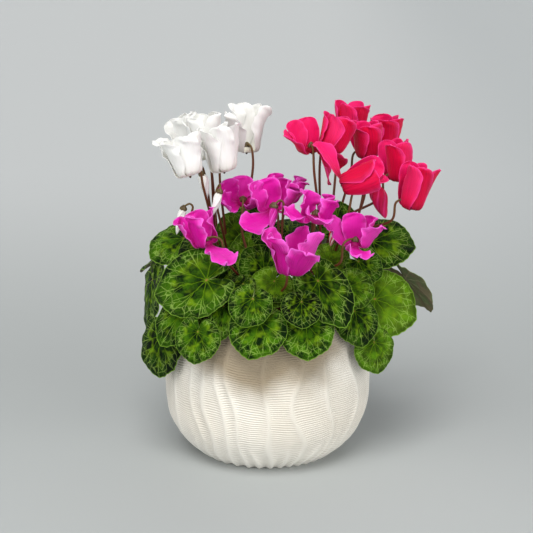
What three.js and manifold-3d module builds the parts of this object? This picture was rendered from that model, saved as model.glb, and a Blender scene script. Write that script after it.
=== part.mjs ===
// A potted cyclamen: three small plants, white, magenta and red, in one fluted ceramic bowl pot.
// Millimetres, +Z up, origin in the middle of the pot's flat foot, the front of the pot towards -Y.

import * as THREE from 'three';
import { mergeVertices } from 'three/addons/utils/BufferGeometryUtils.js';
import Module from 'manifold-3d';

const wasm = await Module();
wasm.setup();

// Driving dimensions of the pot and its soil
const BELLY_RADIUS = 90;
const FOOT_RADIUS = 58;
const RIM_RADIUS = 81;
const BELLY_HEIGHT = 74;
const POT_HEIGHT = 132;
const SIDE_POWER = 3.4;
const FLUTES = 40;
const FLUTE_DEPTH = 1.6;
const WALL = 6.5;
const BOWL_SIDES = 24;
const FLOOR = 7;
const SOIL_TOP = 119;
const GAP = 0.3;

// Driving dimensions of the plants
const TUBER_RADIUS = 14;
const TUBER_SIDES = 12;
const TUBER_FOOT = 101;
const TUBER_RISE = 5;
const STALK_SIDES = 4;
const FLOWER_STALK_RADIUS = 1;
const LEAF_STALK_RADIUS = 1.2;
const PETAL_THICKNESS = 0.8;
const PETAL_ROOT = 2.2;
const PETAL_WIDTH = 13;
const PETAL_BLUNT = 0.86;
const PETAL_START = 3;
const PETAL_DIP = 0.45;
const PETAL_TURN = [1, 11];
const PETAL_CURL = 12;
const PETAL_ANGLES = [58, 119, 180, 241, 302];
const PETAL_ROWS = [[0, [-1, 1]], [0.25, [-1, 1]], [0.62, [-1, 0, 1]], [1, [-1, 1]]];
const THROAT = [[0, 0.6], [2.8, -1.8], [5, -1], [3.4, 2.8], [0, 3.3]];
const CALYX = [[0, 0], [3, 1.6], [0, 3.6]];
const BUD = [[0, 0], [0.55, 0], [1, 0.3], [0.75, 0.65], [0.25, 0.97], [0, 1]];
const BUD_CALYX = [[0, 0], [2.4, 1], [0, 3]];
const BUD_SIDES = 7;
const LEAF_THICKNESS = 0.9;
const LEAF_NOTCH = 0.08;
const LEAF_LEAD = [5, 9];
const LEAF_SEAT = [-1.5, 1.3];
const ARCH_HEIGHT = 142;
const LEAF_SPOKES = 14;
const LEAF_RINGS = [0.5, 1];
const YOUNG_SPOKES = 10;
const YOUNG_RINGS = [1];
const YOUNG_SINK = 1.8;

const UP = new THREE.Vector3(0, 0, 1);
const radians = THREE.MathUtils.degToRad;
const vector = (list) => new THREE.Vector3(...list);

// Solids

function solidOf(geometry) {
  geometry.deleteAttribute('normal');
  geometry.deleteAttribute('uv');
  const merged = mergeVertices(geometry, 1e-4);
  const vertProperties = Float32Array.from(merged.attributes.position.array);
  const triVerts = Uint32Array.from(merged.index.array);
  return new wasm.Manifold(new wasm.Mesh({ numProp: 3, vertProperties, triVerts }));
}

function geometryOf(solid) {
  const mesh = solid.getMesh();
  const geometry = new THREE.BufferGeometry();
  geometry.setAttribute('position', new THREE.BufferAttribute(mesh.vertProperties, 3));
  geometry.setIndex(new THREE.BufferAttribute(mesh.triVerts, 1));
  geometry.computeVertexNormals();
  return geometry;
}

function joined(geometries) {
  return geometryOf(geometries.map(solidOf).reduce((all, next) => all.add(next)));
}

function indexed(points, triangles) {
  const geometry = new THREE.BufferGeometry();
  const coordinates = points.flatMap((p) => p.toArray());
  geometry.setAttribute('position', new THREE.Float32BufferAttribute(coordinates, 3));
  geometry.setIndex(triangles.flat());
  return geometry;
}

// A thin closed blade: a middle surface, given by points and triangles, moved half the thickness to each
// side along its normals, with a rim round its edge loop. Both faces have the same triangles.
function blade(points, triangles, edge, thickness) {
  const middle = indexed(points, triangles);
  middle.computeVertexNormals();
  const { normal } = middle.attributes;
  const normals = points.map((_, i) => new THREE.Vector3().fromBufferAttribute(normal, i));
  const upper = points.map((p, i) => p.clone().addScaledVector(normals[i], thickness / 2));
  const lower = points.map((p, i) => p.clone().addScaledVector(normals[i], -thickness / 2));
  const count = points.length;
  const under = triangles.map(([a, b, c]) => [a + count, c + count, b + count]);
  const rim = edge.flatMap((a, i) => {
    const b = edge[(i + 1) % edge.length];
    return [[a, a + count, b + count], [a, b + count, b]];
  });
  return indexed([...upper, ...lower], [...triangles, ...under, ...rim]);
}

// A smooth line whose steps follow its control points, so that they lie close together in its bends
class BentLine extends THREE.CatmullRomCurve3 {
  getPointAt(share) {
    return this.getPoint(share);
  }

  getTangentAt(share) {
    return this.getTangent(share);
  }
}

function tube(points, radius) {
  const section = new THREE.Shape();
  for (let i = 0; i < STALK_SIDES; i += 1) {
    const turn = (2 * Math.PI * i) / STALK_SIDES;
    const corner = [radius * Math.cos(turn), radius * Math.sin(turn)];
    if (i === 0) section.moveTo(...corner);
    else section.lineTo(...corner);
  }
  const extrudePath = new BentLine(points, false, 'centripetal');
  return new THREE.ExtrudeGeometry(section, { steps: points.length - 1, bevelEnabled: false, extrudePath });
}

// A lathe shape stood on a point: its axis along `axis`, its profile as [radius, height] pairs
function turned(profile, sides, at, axis) {
  const points = profile.map(([x, y]) => new THREE.Vector2(x, y));
  const geometry = new THREE.LatheGeometry(points, sides);
  geometry.applyQuaternion(new THREE.Quaternion().setFromUnitVectors(new THREE.Vector3(0, 1, 0), axis));
  return geometry.translate(at.x, at.y, at.z);
}

// Pot: a bowl whose side curves in to the foot and closes a little towards the rim

function potRadius(z) {
  if (z > BELLY_HEIGHT) {
    const rise = (z - BELLY_HEIGHT) / (POT_HEIGHT - BELLY_HEIGHT);
    return BELLY_RADIUS - (BELLY_RADIUS - RIM_RADIUS) * rise ** 2;
  }
  return FOOT_RADIUS + (BELLY_RADIUS - FOOT_RADIUS) * (1 - (1 - z / BELLY_HEIGHT) ** SIDE_POWER);
}

function potOutside() {
  const heights = [0, 7, 26, 66, 106, POT_HEIGHT];
  const columns = 2 * FLUTES;
  const points = [new THREE.Vector3(0, 0, 0), new THREE.Vector3(0, 0, POT_HEIGHT)];
  const triangles = [];
  heights.forEach((z, row) => {
    for (let column = 0; column < columns; column += 1) {
      const sway = 0.05 * Math.sin(z / 21 + 0.9 * Math.sin((2 * Math.PI * column * 3) / columns));
      const turn = (2 * Math.PI * column) / columns + sway;
      const dent = column % 2 === 0 ? 0 : FLUTE_DEPTH;
      const radius = potRadius(z) - dent;
      points.push(new THREE.Vector3(radius * Math.cos(turn), radius * Math.sin(turn), z));
      const next = (column + 1) % columns;
      const here = 2 + row * columns;
      if (row === 0) triangles.push([0, here + next, here + column]);
      if (row === heights.length - 1) triangles.push([1, here + column, here + next]);
      if (row > 0) {
        const below = here - columns;
        triangles.push([below + column, below + next, here + next]);
        triangles.push([below + column, here + next, here + column]);
      }
    }
  });
  return indexed(points, triangles);
}

// The bowl's inside, drawn in by `inset` for the soil that fills it, with the same bends in both
function potInside(inset, upper) {
  const heights = [FLOOR, 30, 62, SOIL_TOP, ...upper];
  const profile = heights.map((z) => [potRadius(z) - WALL - inset, Math.max(z, FLOOR + inset)]);
  return turned([[0, FLOOR + inset], ...profile, [0, heights.at(-1)]], BOWL_SIDES, new THREE.Vector3(), UP);
}

// The plain hole in the soil that a tuber stands in
function hole(centre) {
  const [radius, foot, top] = [TUBER_RADIUS + GAP, TUBER_FOOT - GAP, SOIL_TOP + 5];
  return turned([[0, foot], [radius, foot], [radius, top], [0, top]], TUBER_SIDES, centre, UP);
}

function tuber(centre) {
  const shoulder = SOIL_TOP + 1;
  const narrow = TUBER_RADIUS * 0.7;
  const profile = [
    [0, TUBER_FOOT], [narrow, TUBER_FOOT], [TUBER_RADIUS, TUBER_FOOT + 6],
    [TUBER_RADIUS, shoulder], [narrow, shoulder + TUBER_RISE * 0.8], [0, shoulder + TUBER_RISE],
  ];
  return turned(profile, TUBER_SIDES, centre, UP);
}

// Blooms

// Three directions of a bloom: along its swept-back petals, towards the side its stalk comes in, and across
function bloomFrame(bloom) {
  const sweep = vector(bloom.sweep).normalize();
  const side = vector(bloom.side);
  side.addScaledVector(sweep, -side.dot(sweep)).normalize();
  return { at: vector(bloom.at), sweep, side, cross: new THREE.Vector3().crossVectors(sweep, side) };
}

// Half the width of a petal at the share t of its length: narrow at the root, broadest past the middle,
// and blunt at the tip
function petalHalfWidth(t, widest) {
  return PETAL_ROOT + (widest - PETAL_ROOT) * Math.sin(Math.PI * PETAL_BLUNT * t ** 1.45) ** 0.85;
}

// The line down the middle of a petal, as [distance from the axis, height along it, heading]. It leaves the
// throat outwards and down, then turns back up to `flare` away from the axis and curls on towards its tip.
function petalLine(t, length, flare, curl) {
  const steps = 20;
  const stride = (t * length) / steps;
  let [radius, height, heading] = [PETAL_START, 0.2, 0];
  for (let i = 0; i < steps; i += 1) {
    const s = stride * (i + 0.5);
    const turn = THREE.MathUtils.smoothstep(s, ...PETAL_TURN);
    heading = THREE.MathUtils.lerp(-PETAL_DIP, radians(90 - flare), turn) - curl * (s / length) ** 2;
    radius += stride * Math.cos(heading);
    height += stride * Math.sin(heading);
  }
  return [radius, height, heading];
}

// The triangles between two rows of a blade, which may differ in their number of points
function strip(lower, upper) {
  const triangles = [];
  let [i, j] = [0, 0];
  while (i < lower.length - 1 || j < upper.length - 1) {
    const ahead = (i + 1) * (upper.length - 1) - (j + 1) * (lower.length - 1);
    if (j === upper.length - 1 || (i < lower.length - 1 && ahead <= 0)) {
      triangles.push([lower[i], lower[i + 1], upper[j]]);
      i += 1;
    } else {
      triangles.push([lower[i], upper[j + 1], upper[j]]);
      j += 1;
    }
  }
  return triangles;
}

function petal(frame, bloom, angle, flare) {
  const turn = radians(angle);
  const outward = frame.side.clone()
    .multiplyScalar(Math.cos(turn))
    .addScaledVector(frame.cross, Math.sin(turn));
  const across = new THREE.Vector3().crossVectors(frame.sweep, outward);
  const bow = 12 + 0.12 * Math.abs(flare);
  const points = [];
  const rows = PETAL_ROWS.map(([t, columns]) => {
    const [radius, height, heading] = petalLine(t, bloom.length, flare, radians(PETAL_CURL));
    const half = petalHalfWidth(t, bloom.width ?? PETAL_WIDTH);
    const twist = radians(8 + 14 * t);
    return columns.map((v) => {
      const bend = (v * half) / bow;
      const flat = bow * Math.sin(bend);
      const dip = bow * (1 - Math.cos(bend));
      const wide = flat * Math.cos(twist) + dip * Math.sin(twist);
      const out = flat * Math.sin(twist) - dip * Math.cos(twist);
      const point = frame.at.clone()
        .addScaledVector(outward, radius + out * Math.sin(heading))
        .addScaledVector(frame.sweep, height - out * Math.cos(heading))
        .addScaledVector(across, wide);
      return points.push(point) - 1;
    });
  });
  const triangles = rows.slice(1).flatMap((row, i) => strip(rows[i], row));
  const right = rows.slice(1).map((row) => row.at(-1));
  const left = rows.slice(1, -1).map((row) => row[0]).reverse();
  const edge = [...rows[0], ...right, ...rows.at(-1).slice(0, -1).reverse(), ...left];
  return blade(points, triangles, edge, PETAL_THICKNESS);
}

// The short tube that the petals turn back from, with its mouth hollowed
function throat(frame) {
  return turned(THROAT, PETAL_ANGLES.length, frame.at, frame.sweep);
}

function bloomSolid(bloom) {
  const frame = bloomFrame(bloom);
  const petals = PETAL_ANGLES.map((angle, i) => petal(frame, bloom, angle, bloom.flares?.[i] ?? bloom.flare));
  return joined([throat(frame), ...petals]);
}

// A closed bud: a slim spindle that hangs from its calyx
function budSolid(bud) {
  const from = vector(bud.at);
  const axis = vector(bud.tip).sub(from);
  const length = axis.length();
  const sized = BUD.map(([r, z]) => [r * bud.radius, z * length]);
  return turned(sized, BUD_SIDES, from, axis.normalize());
}

// Stalks

// Stalks leave a tuber's top in the order in which they lean away round it, in turn nearer and further out
function grow(crown, sprouts) {
  const lean = ({ towards }) => Math.atan2(towards[1] - crown.y, towards[0] - crown.x);
  return [...sprouts].sort((a, b) => lean(a) - lean(b)).flatMap((sprout, i) => {
    const turn = -Math.PI + (2 * Math.PI * (i + 0.5)) / sprouts.length;
    const reach = TUBER_RADIUS * (i % 2 === 0 ? 0.35 : 0.68);
    const root = new THREE.Vector3(reach * Math.cos(turn), reach * Math.sin(turn), SOIL_TOP).add(crown);
    return sprout.stalk(root);
  });
}

function flowerStalk(root, bloom) {
  const frame = bloomFrame(bloom);
  const along = (sideways, up, drop) => frame.at.clone()
    .addScaledVector(frame.side, sideways)
    .addScaledVector(frame.sweep, up)
    .addScaledVector(UP, -drop);
  const foot = along(15, -2, 12);
  const arch = root.clone().lerp(foot, 0.5).addScaledVector(UP, 8);
  const middle = bloom.via ? vector(bloom.via) : arch;
  const hook = [foot, along(12.5, 2, 0.5), along(8, 4.9, 0), along(0.5, 5.4, 0)];
  const top = THROAT.at(-1)[1] + 1.5 * GAP;
  const calyx = turned(CALYX, PETAL_ANGLES.length, along(0, top, 0), frame.sweep);
  return [tube([root, middle, ...hook], FLOWER_STALK_RADIUS), calyx];
}

function budStalk(root, bud) {
  const at = vector(bud.at);
  const hang = vector(bud.tip).sub(at).normalize();
  const side = vector(bud.side);
  side.addScaledVector(hang, -side.dot(hang)).normalize();
  const along = (sideways, down) => at.clone().addScaledVector(side, sideways).addScaledVector(hang, down);
  const reach = bud.radius + 4.5;
  const path = [along(reach, 4), along(reach - 1, -4), along(reach / 2, -5.5), along(0, -2)];
  const arch = root.clone().lerp(path[0], 0.5).addScaledVector(UP, 6);
  const middle = bud.via ? vector(bud.via) : arch;
  const calyx = turned(BUD_CALYX, PETAL_ANGLES.length, along(0, -GAP), hang.clone().negate());
  return [tube([root, middle, ...path], FLOWER_STALK_RADIUS * 0.9), calyx];
}

// Leaves

function leafFrame(leaf) {
  const at = vector(leaf.at);
  const along = vector(leaf.tip).sub(at);
  const length = along.length();
  along.normalize();
  const face = vector(leaf.face ?? [at.x / BELLY_RADIUS, at.y / BELLY_RADIUS, 0.8]);
  face.addScaledVector(along, -face.dot(along)).normalize();
  return { at, along, face, across: new THREE.Vector3().crossVectors(face, along), length };
}

// Reach of a leaf's edge from its stalk, in units of the length to its tip: a heart with a deep notch
// at the stalk, and a low wave along the margin
function leafEdge(angle) {
  const away = Math.abs(angle) / Math.PI;
  const heart = 0.95 - 0.57 * away ** 1.25 + 0.05 * Math.exp(-((away / 0.1) ** 2));
  const notch = 0.4 * Math.exp(-(((1 - away) / 0.055) ** 2));
  return Math.max(heart - notch, LEAF_NOTCH) * (1 + 0.025 * Math.cos(9 * angle));
}

// A point of a leaf's middle surface: the outline shrunk to `share`, rolled down along and across, and waved
function leafPoint(frame, leaf, share, angle) {
  const reach = share * leafEdge(angle) * frame.length;
  const forward = reach * Math.cos(angle);
  const aside = reach * Math.sin(angle) * (leaf.width ?? 1);
  const droop = (leaf.droop ?? 0.35) / frame.length;
  const cup = (leaf.cup ?? 0.3) / frame.length;
  const wave = 0.035 * frame.length * share ** 2 * Math.sin(4 * angle + frame.at.x);
  const roll = 0.5 * droop * forward ** 2 * (forward > 0 ? 1 : -0.2);
  const depth = wave - roll - 0.5 * cup * aside ** 2;
  return frame.at.clone()
    .addScaledVector(frame.along, forward * (1 - 0.1 * (droop * forward) ** 2))
    .addScaledVector(frame.across, aside * (1 - 0.16 * (cup * aside) ** 2))
    .addScaledVector(frame.face, depth);
}

function leafSolid(leaf, spokes, rings) {
  const frame = leafFrame(leaf);
  const points = [leafPoint(frame, leaf, 0, 0)];
  const triangles = [];
  rings.forEach((share, ring) => {
    for (let spoke = 0; spoke < spokes; spoke += 1) {
      // spokes crowd towards the tip; the first one runs into the notch
      const turn = (2 * Math.PI * spoke) / spokes;
      points.push(leafPoint(frame, leaf, share, turn - Math.PI + 0.35 * Math.sin(turn)));
      const next = (spoke + 1) % spokes;
      const here = 1 + ring * spokes;
      if (ring === 0) {
        triangles.push([0, here + spoke, here + next]);
      } else {
        const inner = here - spokes;
        triangles.push([inner + spoke, here + spoke, here + next]);
        triangles.push([inner + spoke, here + next, inner + next]);
      }
    }
  });
  const edge = Array.from({ length: spokes }, (_, spoke) => 1 + (rings.length - 1) * spokes + spoke);
  return blade(points, triangles, edge, LEAF_THICKNESS);
}

// A leaf's stalk comes up from its tuber and meets the leaf's underside at the notch, `clearance` below it
function leafStalk(root, leaf, clearance) {
  const frame = leafFrame(leaf);
  const under = (back, below) => frame.at.clone()
    .addScaledVector(frame.along, -back)
    .addScaledVector(frame.face, -below - LEAF_THICKNESS / 2 - clearance);
  const tail = [under(...(leaf.lead ?? LEAF_LEAD)), under(...LEAF_SEAT)];
  const lift = THREE.MathUtils.clamp(ARCH_HEIGHT - frame.at.z, 6, 34);
  const arch = root.clone().lerp(tail[0], 0.55).addScaledVector(UP, lift);
  const middle = leaf.via ? vector(leaf.via) : arch;
  return tube([root, middle, ...tail], LEAF_STALK_RADIUS);
}

// What grows on each plant, placed by hand

const plants = {
  white: {
    crown: new THREE.Vector3(-36, 20, 0),
    petals: 0xeceae4,
    blooms: [
      {
        at: [-65, -26, 252], sweep: [-0.3, 0.2, 0.93], side: [0.7, 0.7, 0],
        length: 40, flares: [4, 4, 10, 14, 8],
      },
      {
        at: [-52, 30, 254], sweep: [-0.12, 0.1, 1], side: [0.3, -1, 0],
        length: 45, flare: 4,
      },
      {
        at: [-37, -1, 250], sweep: [-0.22, 0.1, 1], side: [-0.3, 1, 0],
        length: 46, flares: [2, 2, 6, 10, 2],
      },
      {
        at: [-18, 54, 255], sweep: [0.05, 0.1, 1], side: [0.4, -1, 0],
        length: 48, width: 12.5, flares: [6, 2, 0, 4, 28],
      },
      {
        at: [-65, 68, 254], sweep: [-0.4, 0.1, 0.9], side: [0.9, 0.3, 0],
        length: 38, width: 12.5, flares: [4, 4, 44, 6, 4],
      },
    ],
    buds: [
      { at: [-71, -14, 219], tip: [-77, -16, 197], side: [1, 0, 0], radius: 3.6, via: [-48, 4, 172] },
      { at: [-40, -24, 236], tip: [-46, -26, 216], side: [-0.3, 1, 0], radius: 3.4 },
      { at: [-56, 8, 244], tip: [-51, 8, 224], side: [0.2, 1, 0], radius: 4.2 },
    ],
  },
  magenta: {
    crown: new THREE.Vector3(0, -26, 0),
    petals: 0xd41a9c,
    blooms: [
      {
        at: [-50, -48, 197], sweep: [-0.2, 0.1, 1], side: [1, -0.15, 0],
        length: 36, width: 13.5, flares: [4, 8, 18, 10, 108],
      },
      {
        at: [-21, 5, 220], sweep: [0.1, -0.5, 0.8], side: [0, -1, -0.3],
        length: 24, width: 12, flares: [28, 34, 26, 38, 40],
      },
      {
        at: [5, -32, 222], sweep: [0, -0.1, 1], side: [0.3, -1, 0],
        length: 32, width: 13.5, flares: [30, 16, 8, 20, 100],
      },
      {
        at: [15, 10, 221], sweep: [0.15, 0, 1], side: [0, 1, 0],
        length: 28, width: 12.5, flare: 10,
      },
      {
        at: [39, -58, 222], sweep: [0.2, 0, 1], side: [0, 1, 0],
        length: 28, width: 12.5, flares: [0, 72, 60, 10, 4],
      },
      {
        at: [20, -82, 183], sweep: [0, 0.05, 1], side: [-0.3, 1, 0],
        length: 44, width: 15, flares: [16, 20, 44, 20, 8], via: [6, -52, 150],
      },
      {
        at: [73, -46, 196], sweep: [0.1, 0, 1], side: [-0.7, -0.5, 0],
        length: 32, width: 12, flares: [80, 24, 10, 8, 36], via: [36, -32, 168],
      },
    ],
    buds: [
      { at: [6, -54, 231], tip: [3, -56, 210], side: [1, 0.3, 0], radius: 3.4 },
    ],
  },
  red: {
    crown: new THREE.Vector3(46, 18, 0),
    petals: 0xe0114a,
    blooms: [
      {
        at: [38, 12, 264], sweep: [-0.1, 0, 1], side: [0.1, -1, 0],
        length: 34, flares: [165, 130, 4, 12, 36], via: [46, 2, 190],
      },
      {
        at: [54, 24, 262], sweep: [0.32, 0.1, 1], side: [-0.6, 1, 0],
        length: 38, flare: 2,
      },
      {
        at: [72, 88, 259], sweep: [0.15, 0, 1], side: [-0.6, 1, 0],
        length: 40, flare: 4, via: [56, 44, 192],
      },
      {
        at: [88, 51, 251], sweep: [-0.1, 0, 1], side: [-1, 0.3, 0],
        length: 36, flare: 2,
      },
      {
        at: [106, 98, 250], sweep: [0, 0, 1], side: [-1, 0.5, 0],
        length: 34, flare: 6, via: [78, 52, 186],
      },
      {
        at: [113, 23, 237], sweep: [-0.12, 0, 1], side: [-1, -0.2, 0],
        length: 40, width: 11, flare: -2, via: [62, 22, 196],
      },
      {
        at: [65, -18, 241], sweep: [0.85, -0.2, 0.4], side: [-0.3, -0.2, -1],
        length: 42, width: 12.5, flares: [4, 6, 100, 2, 6],
      },
      {
        at: [121, -14, 221], sweep: [0.15, 0, 1], side: [-1, 0, 0],
        length: 44, width: 11.5, flares: [-4, -2, 10, -2, -4], via: [66, 8, 188],
      },
    ],
    buds: [
      { at: [57, -12, 205], tip: [54, -14, 186], side: [0.3, 0.9, 0], radius: 3.4 },
      { at: [36, -2, 224], tip: [34, -4, 209], side: [0.6, 0.9, 0], radius: 3 },
      { at: [93, 12, 232], tip: [102, 8, 205], side: [-1, 0.4, 0], radius: 7 },
    ],
  },
};

// The large leaves stand as pieces of their own; the young ones are one with the stalks of their plant
const leaves = [
  { at: [-50, -65, 171], tip: [-99, -51, 155], face: [-0.1, -0.9, 0.5], width: 0.75, via: [-28, -44, 150] },
  { at: [-44, -32, 158], tip: [-32, -28, 182], face: [0.1, -0.9, 0.4], width: 0.9 },
  { at: [-66, -55, 147], tip: [-92, -68, 116], face: [-0.4, -0.8, 0.4], width: 0.65, via: [-30, -40, 142] },
  { at: [-90, -40, 114], tip: [-97, -50, 80], face: [-0.7, -0.7, 0.2], lead: [12, 4] },
  { at: [-57, -80, 131], tip: [-62, -90, 106], face: [-0.3, -0.9, 0.3], via: [-34, -60, 137] },
  { at: [-99, 0, 152], tip: [-111, -6, 110], face: [-1, -0.3, 0.2], width: 0.8 },
  { at: [-72, 4, 188], tip: [-102, -8, 177], face: [-0.2, -0.5, 0.85] },
  { at: [-50, -28, 190], tip: [-76, -34, 186], face: [0, -0.6, 0.8] },
  { at: [-6, -88, 143], tip: [-16, -107, 117], face: [-0.1, -0.8, 0.6] },
  { at: [-20, -63, 167], tip: [-28, -82, 157], face: [-0.1, -0.7, 0.7], width: 0.7 },
  { at: [32, -84, 140], tip: [34, -104, 115], face: [0.1, -0.8, 0.5] },
  { at: [42, -64, 170], tip: [66, -88, 140], face: [0.2, -0.9, 0.4], width: 0.68 },
  { at: [68, -48, 160], tip: [92, -46, 154], face: [0.2, -0.9, 0.5] },
  { at: [73, -52, 140], tip: [82, -66, 113], face: [0.4, -0.9, 0.3], width: 0.9 },
  { at: [92, -22, 142], tip: [131, -24, 126], face: [0.2, -0.8, 0.6] },
  { at: [92, 18, 182], tip: [130, 14, 182], face: [0.1, -0.6, 0.8] },
  { at: [120, 6, 152], tip: [147, 10, 124], face: [0.4, 0.6, 0.7], width: 0.7, via: [88, 14, 150] },
  { at: [90, 46, 160], tip: [120, 64, 138], width: 0.85 },
  { at: [48, 78, 176], tip: [60, 116, 154], width: 0.85 },
  { at: [12, 74, 160], tip: [16, 112, 138], width: 0.85 },
  { at: [-28, 76, 176], tip: [-42, 112, 156], width: 0.85 },
  { at: [-60, 60, 158], tip: [-84, 88, 134], width: 0.85 },
  { at: [-80, 40, 172], tip: [-116, 50, 150], width: 0.85 },
  { at: [-36, -70, 150], tip: [-38, -86, 126], face: [-0.1, -0.85, 0.5], width: 0.6 },
];

const youngLeaves = [
  { at: [-22, 14, 186], tip: [-38, 24, 206], face: [0, -0.8, 0.5] },
  { at: [-12, -12, 172], tip: [-23, -8, 196], face: [0, -0.9, 0.3] },
  { at: [-2, -47, 174], tip: [-20, -45, 192], face: [0, -0.9, 0.4] },
  { at: [6, -58, 168], tip: [-6, -72, 150], face: [-0.1, -0.9, 0.5] },
  { at: [-12, -88, 162], tip: [-22, -100, 142], face: [-0.1, -0.9, 0.5], via: [2, -60, 150] },
  { at: [28, -90, 160], tip: [28, -106, 143], face: [0, -0.8, 0.6], via: [14, -64, 150] },
  { at: [10, -56, 163], tip: [0, -72, 157], face: [0, -0.6, 0.8] },
  { at: [90, -50, 112], tip: [96, -58, 86], face: [0.5, -0.8, 0.2], via: [66, -36, 142] },
  { at: [77, -26, 176], tip: [99, -28, 164], face: [0.1, -0.8, 0.6] },
  { at: [52, -16, 173], tip: [70, -6, 182], face: [0.1, -0.8, 0.6] },
  { at: [62, 26, 192], tip: [60, 32, 216], face: [0.1, -0.9, 0.3] },
  { at: [-8, 44, 200], tip: [-8, 52, 224], face: [0, -0.8, 0.5] },
  { at: [20, 44, 178], tip: [24, 66, 192] },
  { at: [4, -8, 183], tip: [-2, -4, 206], face: [0, -0.9, 0.3] },
];

// The model

const model = new THREE.Group();

function addPiece(name, geometry, color, roughness) {
  const material = new THREE.MeshStandardMaterial({ color, roughness, metalness: 0 });
  const mesh = new THREE.Mesh(geometry, material);
  mesh.name = name;
  model.add(mesh);
}

const crowns = Object.values(plants).map((plant) => plant.crown);

const cavity = solidOf(potInside(0, [POT_HEIGHT + 5]));
addPiece('pot', geometryOf(solidOf(potOutside()).subtract(cavity)), 0xe4dfd2, 0.75);

const filling = solidOf(potInside(GAP, []));
const soil = crowns.map(hole).reduce((solid, well) => solid.subtract(solidOf(well)), filling);
addPiece('soil', geometryOf(soil), 0x2c211a, 1);

leaves.forEach((leaf, i) => {
  const name = `leaf_${String(i + 1).padStart(2, '0')}`;
  addPiece(name, leafSolid(leaf, LEAF_SPOKES, LEAF_RINGS), 0x3f6b22, 0.5);
});

// The plant that a leaf grows on is the one whose crown is nearest to the leaf's stalk end
function growsOn(crown, leaf) {
  const away = (other) => Math.hypot(other.x - leaf.at[0], other.y - leaf.at[1]);
  return crowns.every((other) => away(crown) <= away(other));
}

Object.entries(plants).forEach(([colour, { crown, petals, blooms, buds }]) => {
  blooms.forEach((bloom, i) => addPiece(`bloom_${colour}_${i + 1}`, bloomSolid(bloom), petals, 0.6));
  buds.forEach((bud, i) => addPiece(`bud_${colour}_${i + 1}`, budSolid(bud), petals, 0.6));
  const grown = leaves.filter((leaf) => growsOn(crown, leaf));
  const young = youngLeaves.filter((leaf) => growsOn(crown, leaf));
  const stalks = grow(crown, [
    ...blooms.map((bloom) => ({ towards: bloom.at, stalk: (root) => flowerStalk(root, bloom) })),
    ...buds.map((bud) => ({ towards: bud.at, stalk: (root) => budStalk(root, bud) })),
    ...grown.map((leaf) => ({ towards: leaf.at, stalk: (root) => leafStalk(root, leaf, GAP) })),
    ...young.map((leaf) => ({ towards: leaf.at, stalk: (root) => leafStalk(root, leaf, -YOUNG_SINK) })),
  ]);
  const blades = young.map((leaf) => leafSolid(leaf, YOUNG_SPOKES, YOUNG_RINGS));
  addPiece(`crown_${colour}`, joined([tuber(crown), ...stalks, ...blades]), 0x6b4a2c, 0.6);
});

export default model;
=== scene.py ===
# %% [markdown]
# # A potted cyclamen
#
# Three small cyclamens, white, magenta and red, share one fluted bowl pot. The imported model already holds
# every piece as a plain faceted solid at its true place and size. This lesson gives each of them its
# finished surface: ruffled petals, veined leaves, smooth stalks, crumbly soil and combed ceramic.

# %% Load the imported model
import math

import bpy
import numpy as np
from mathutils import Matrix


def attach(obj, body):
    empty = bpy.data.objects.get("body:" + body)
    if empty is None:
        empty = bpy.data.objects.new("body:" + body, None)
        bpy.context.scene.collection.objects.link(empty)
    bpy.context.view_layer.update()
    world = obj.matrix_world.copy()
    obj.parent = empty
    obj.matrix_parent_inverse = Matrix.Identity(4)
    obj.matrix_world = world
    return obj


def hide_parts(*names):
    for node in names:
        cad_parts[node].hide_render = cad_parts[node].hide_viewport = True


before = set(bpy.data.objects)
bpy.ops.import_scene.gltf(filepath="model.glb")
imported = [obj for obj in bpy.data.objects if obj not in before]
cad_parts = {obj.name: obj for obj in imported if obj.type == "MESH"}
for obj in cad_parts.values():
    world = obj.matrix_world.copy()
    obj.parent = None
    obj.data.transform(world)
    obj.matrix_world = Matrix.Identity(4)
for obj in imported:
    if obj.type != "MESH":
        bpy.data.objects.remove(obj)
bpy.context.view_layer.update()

# %% [markdown]
# ## Measures
#
# A plant is easiest to think of in millimetres, while Blender works in metres. All the shapes below are
# therefore worked out in millimetres, and one factor turns them into metres as each mesh is made.

# %% Units and small helpers
MM = 0.001
UP = np.array([0.0, 0.0, 1.0])
WAVES = 5


def unit(vectors):
    """Each vector divided by its own length."""
    vectors = np.asarray(vectors, float)
    return vectors / np.maximum(np.linalg.norm(vectors, axis=-1, keepdims=True), 1e-9)


def ease(x, low, high):
    """0 below low, 1 above high, and the smooth step 3s^2 - 2s^3 between them."""
    s = np.clip((x - low) / (high - low), 0, 1)
    return s * s * (3 - 2 * s)


def blend(a, b, share):
    """The straight mix a + (b - a) share."""
    return a + (b - a) * share


def square_to(vector, axis):
    """A unit vector: what is left of a vector when its share along a unit axis is taken away."""
    vector = np.array(vector, float)
    return unit(vector - axis * (vector @ axis))


def full_turn(count):
    """Angles that lie evenly once round, as the one row that a grid starts from."""
    return np.linspace(0, 2 * math.pi, count, endpoint=False)[None, :]


def ripple(x, y, seed):
    """A wandering field between about -1 and 1: twice the mean of five sines in seeded directions."""
    rng = np.random.default_rng(seed)
    turn = rng.uniform(0, 2 * math.pi, WAVES)
    pace = rng.uniform(0.6, 1.7, WAVES)
    start = rng.uniform(0, 2 * math.pi, WAVES)
    waves = [np.sin(p * (x * math.cos(a) + y * math.sin(a)) + s) for a, p, s in zip(turn, pace, start)]
    return sum(waves) * 2 / WAVES


# %% [markdown]
# ## From a grid of points to a mesh
#
# Almost every surface of this plant is a function of two parameters, so it comes out of numpy as a grid of
# points. Two functions close such grids into solids. A lathe form gets a fan at each end. A thin blade is a
# middle surface that is moved half its thickness to each side and joined round its rim. Each point also
# carries five marks, which the materials read: a place (u, v, w), which side it is on, and a number that
# differs from copy to copy.

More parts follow.
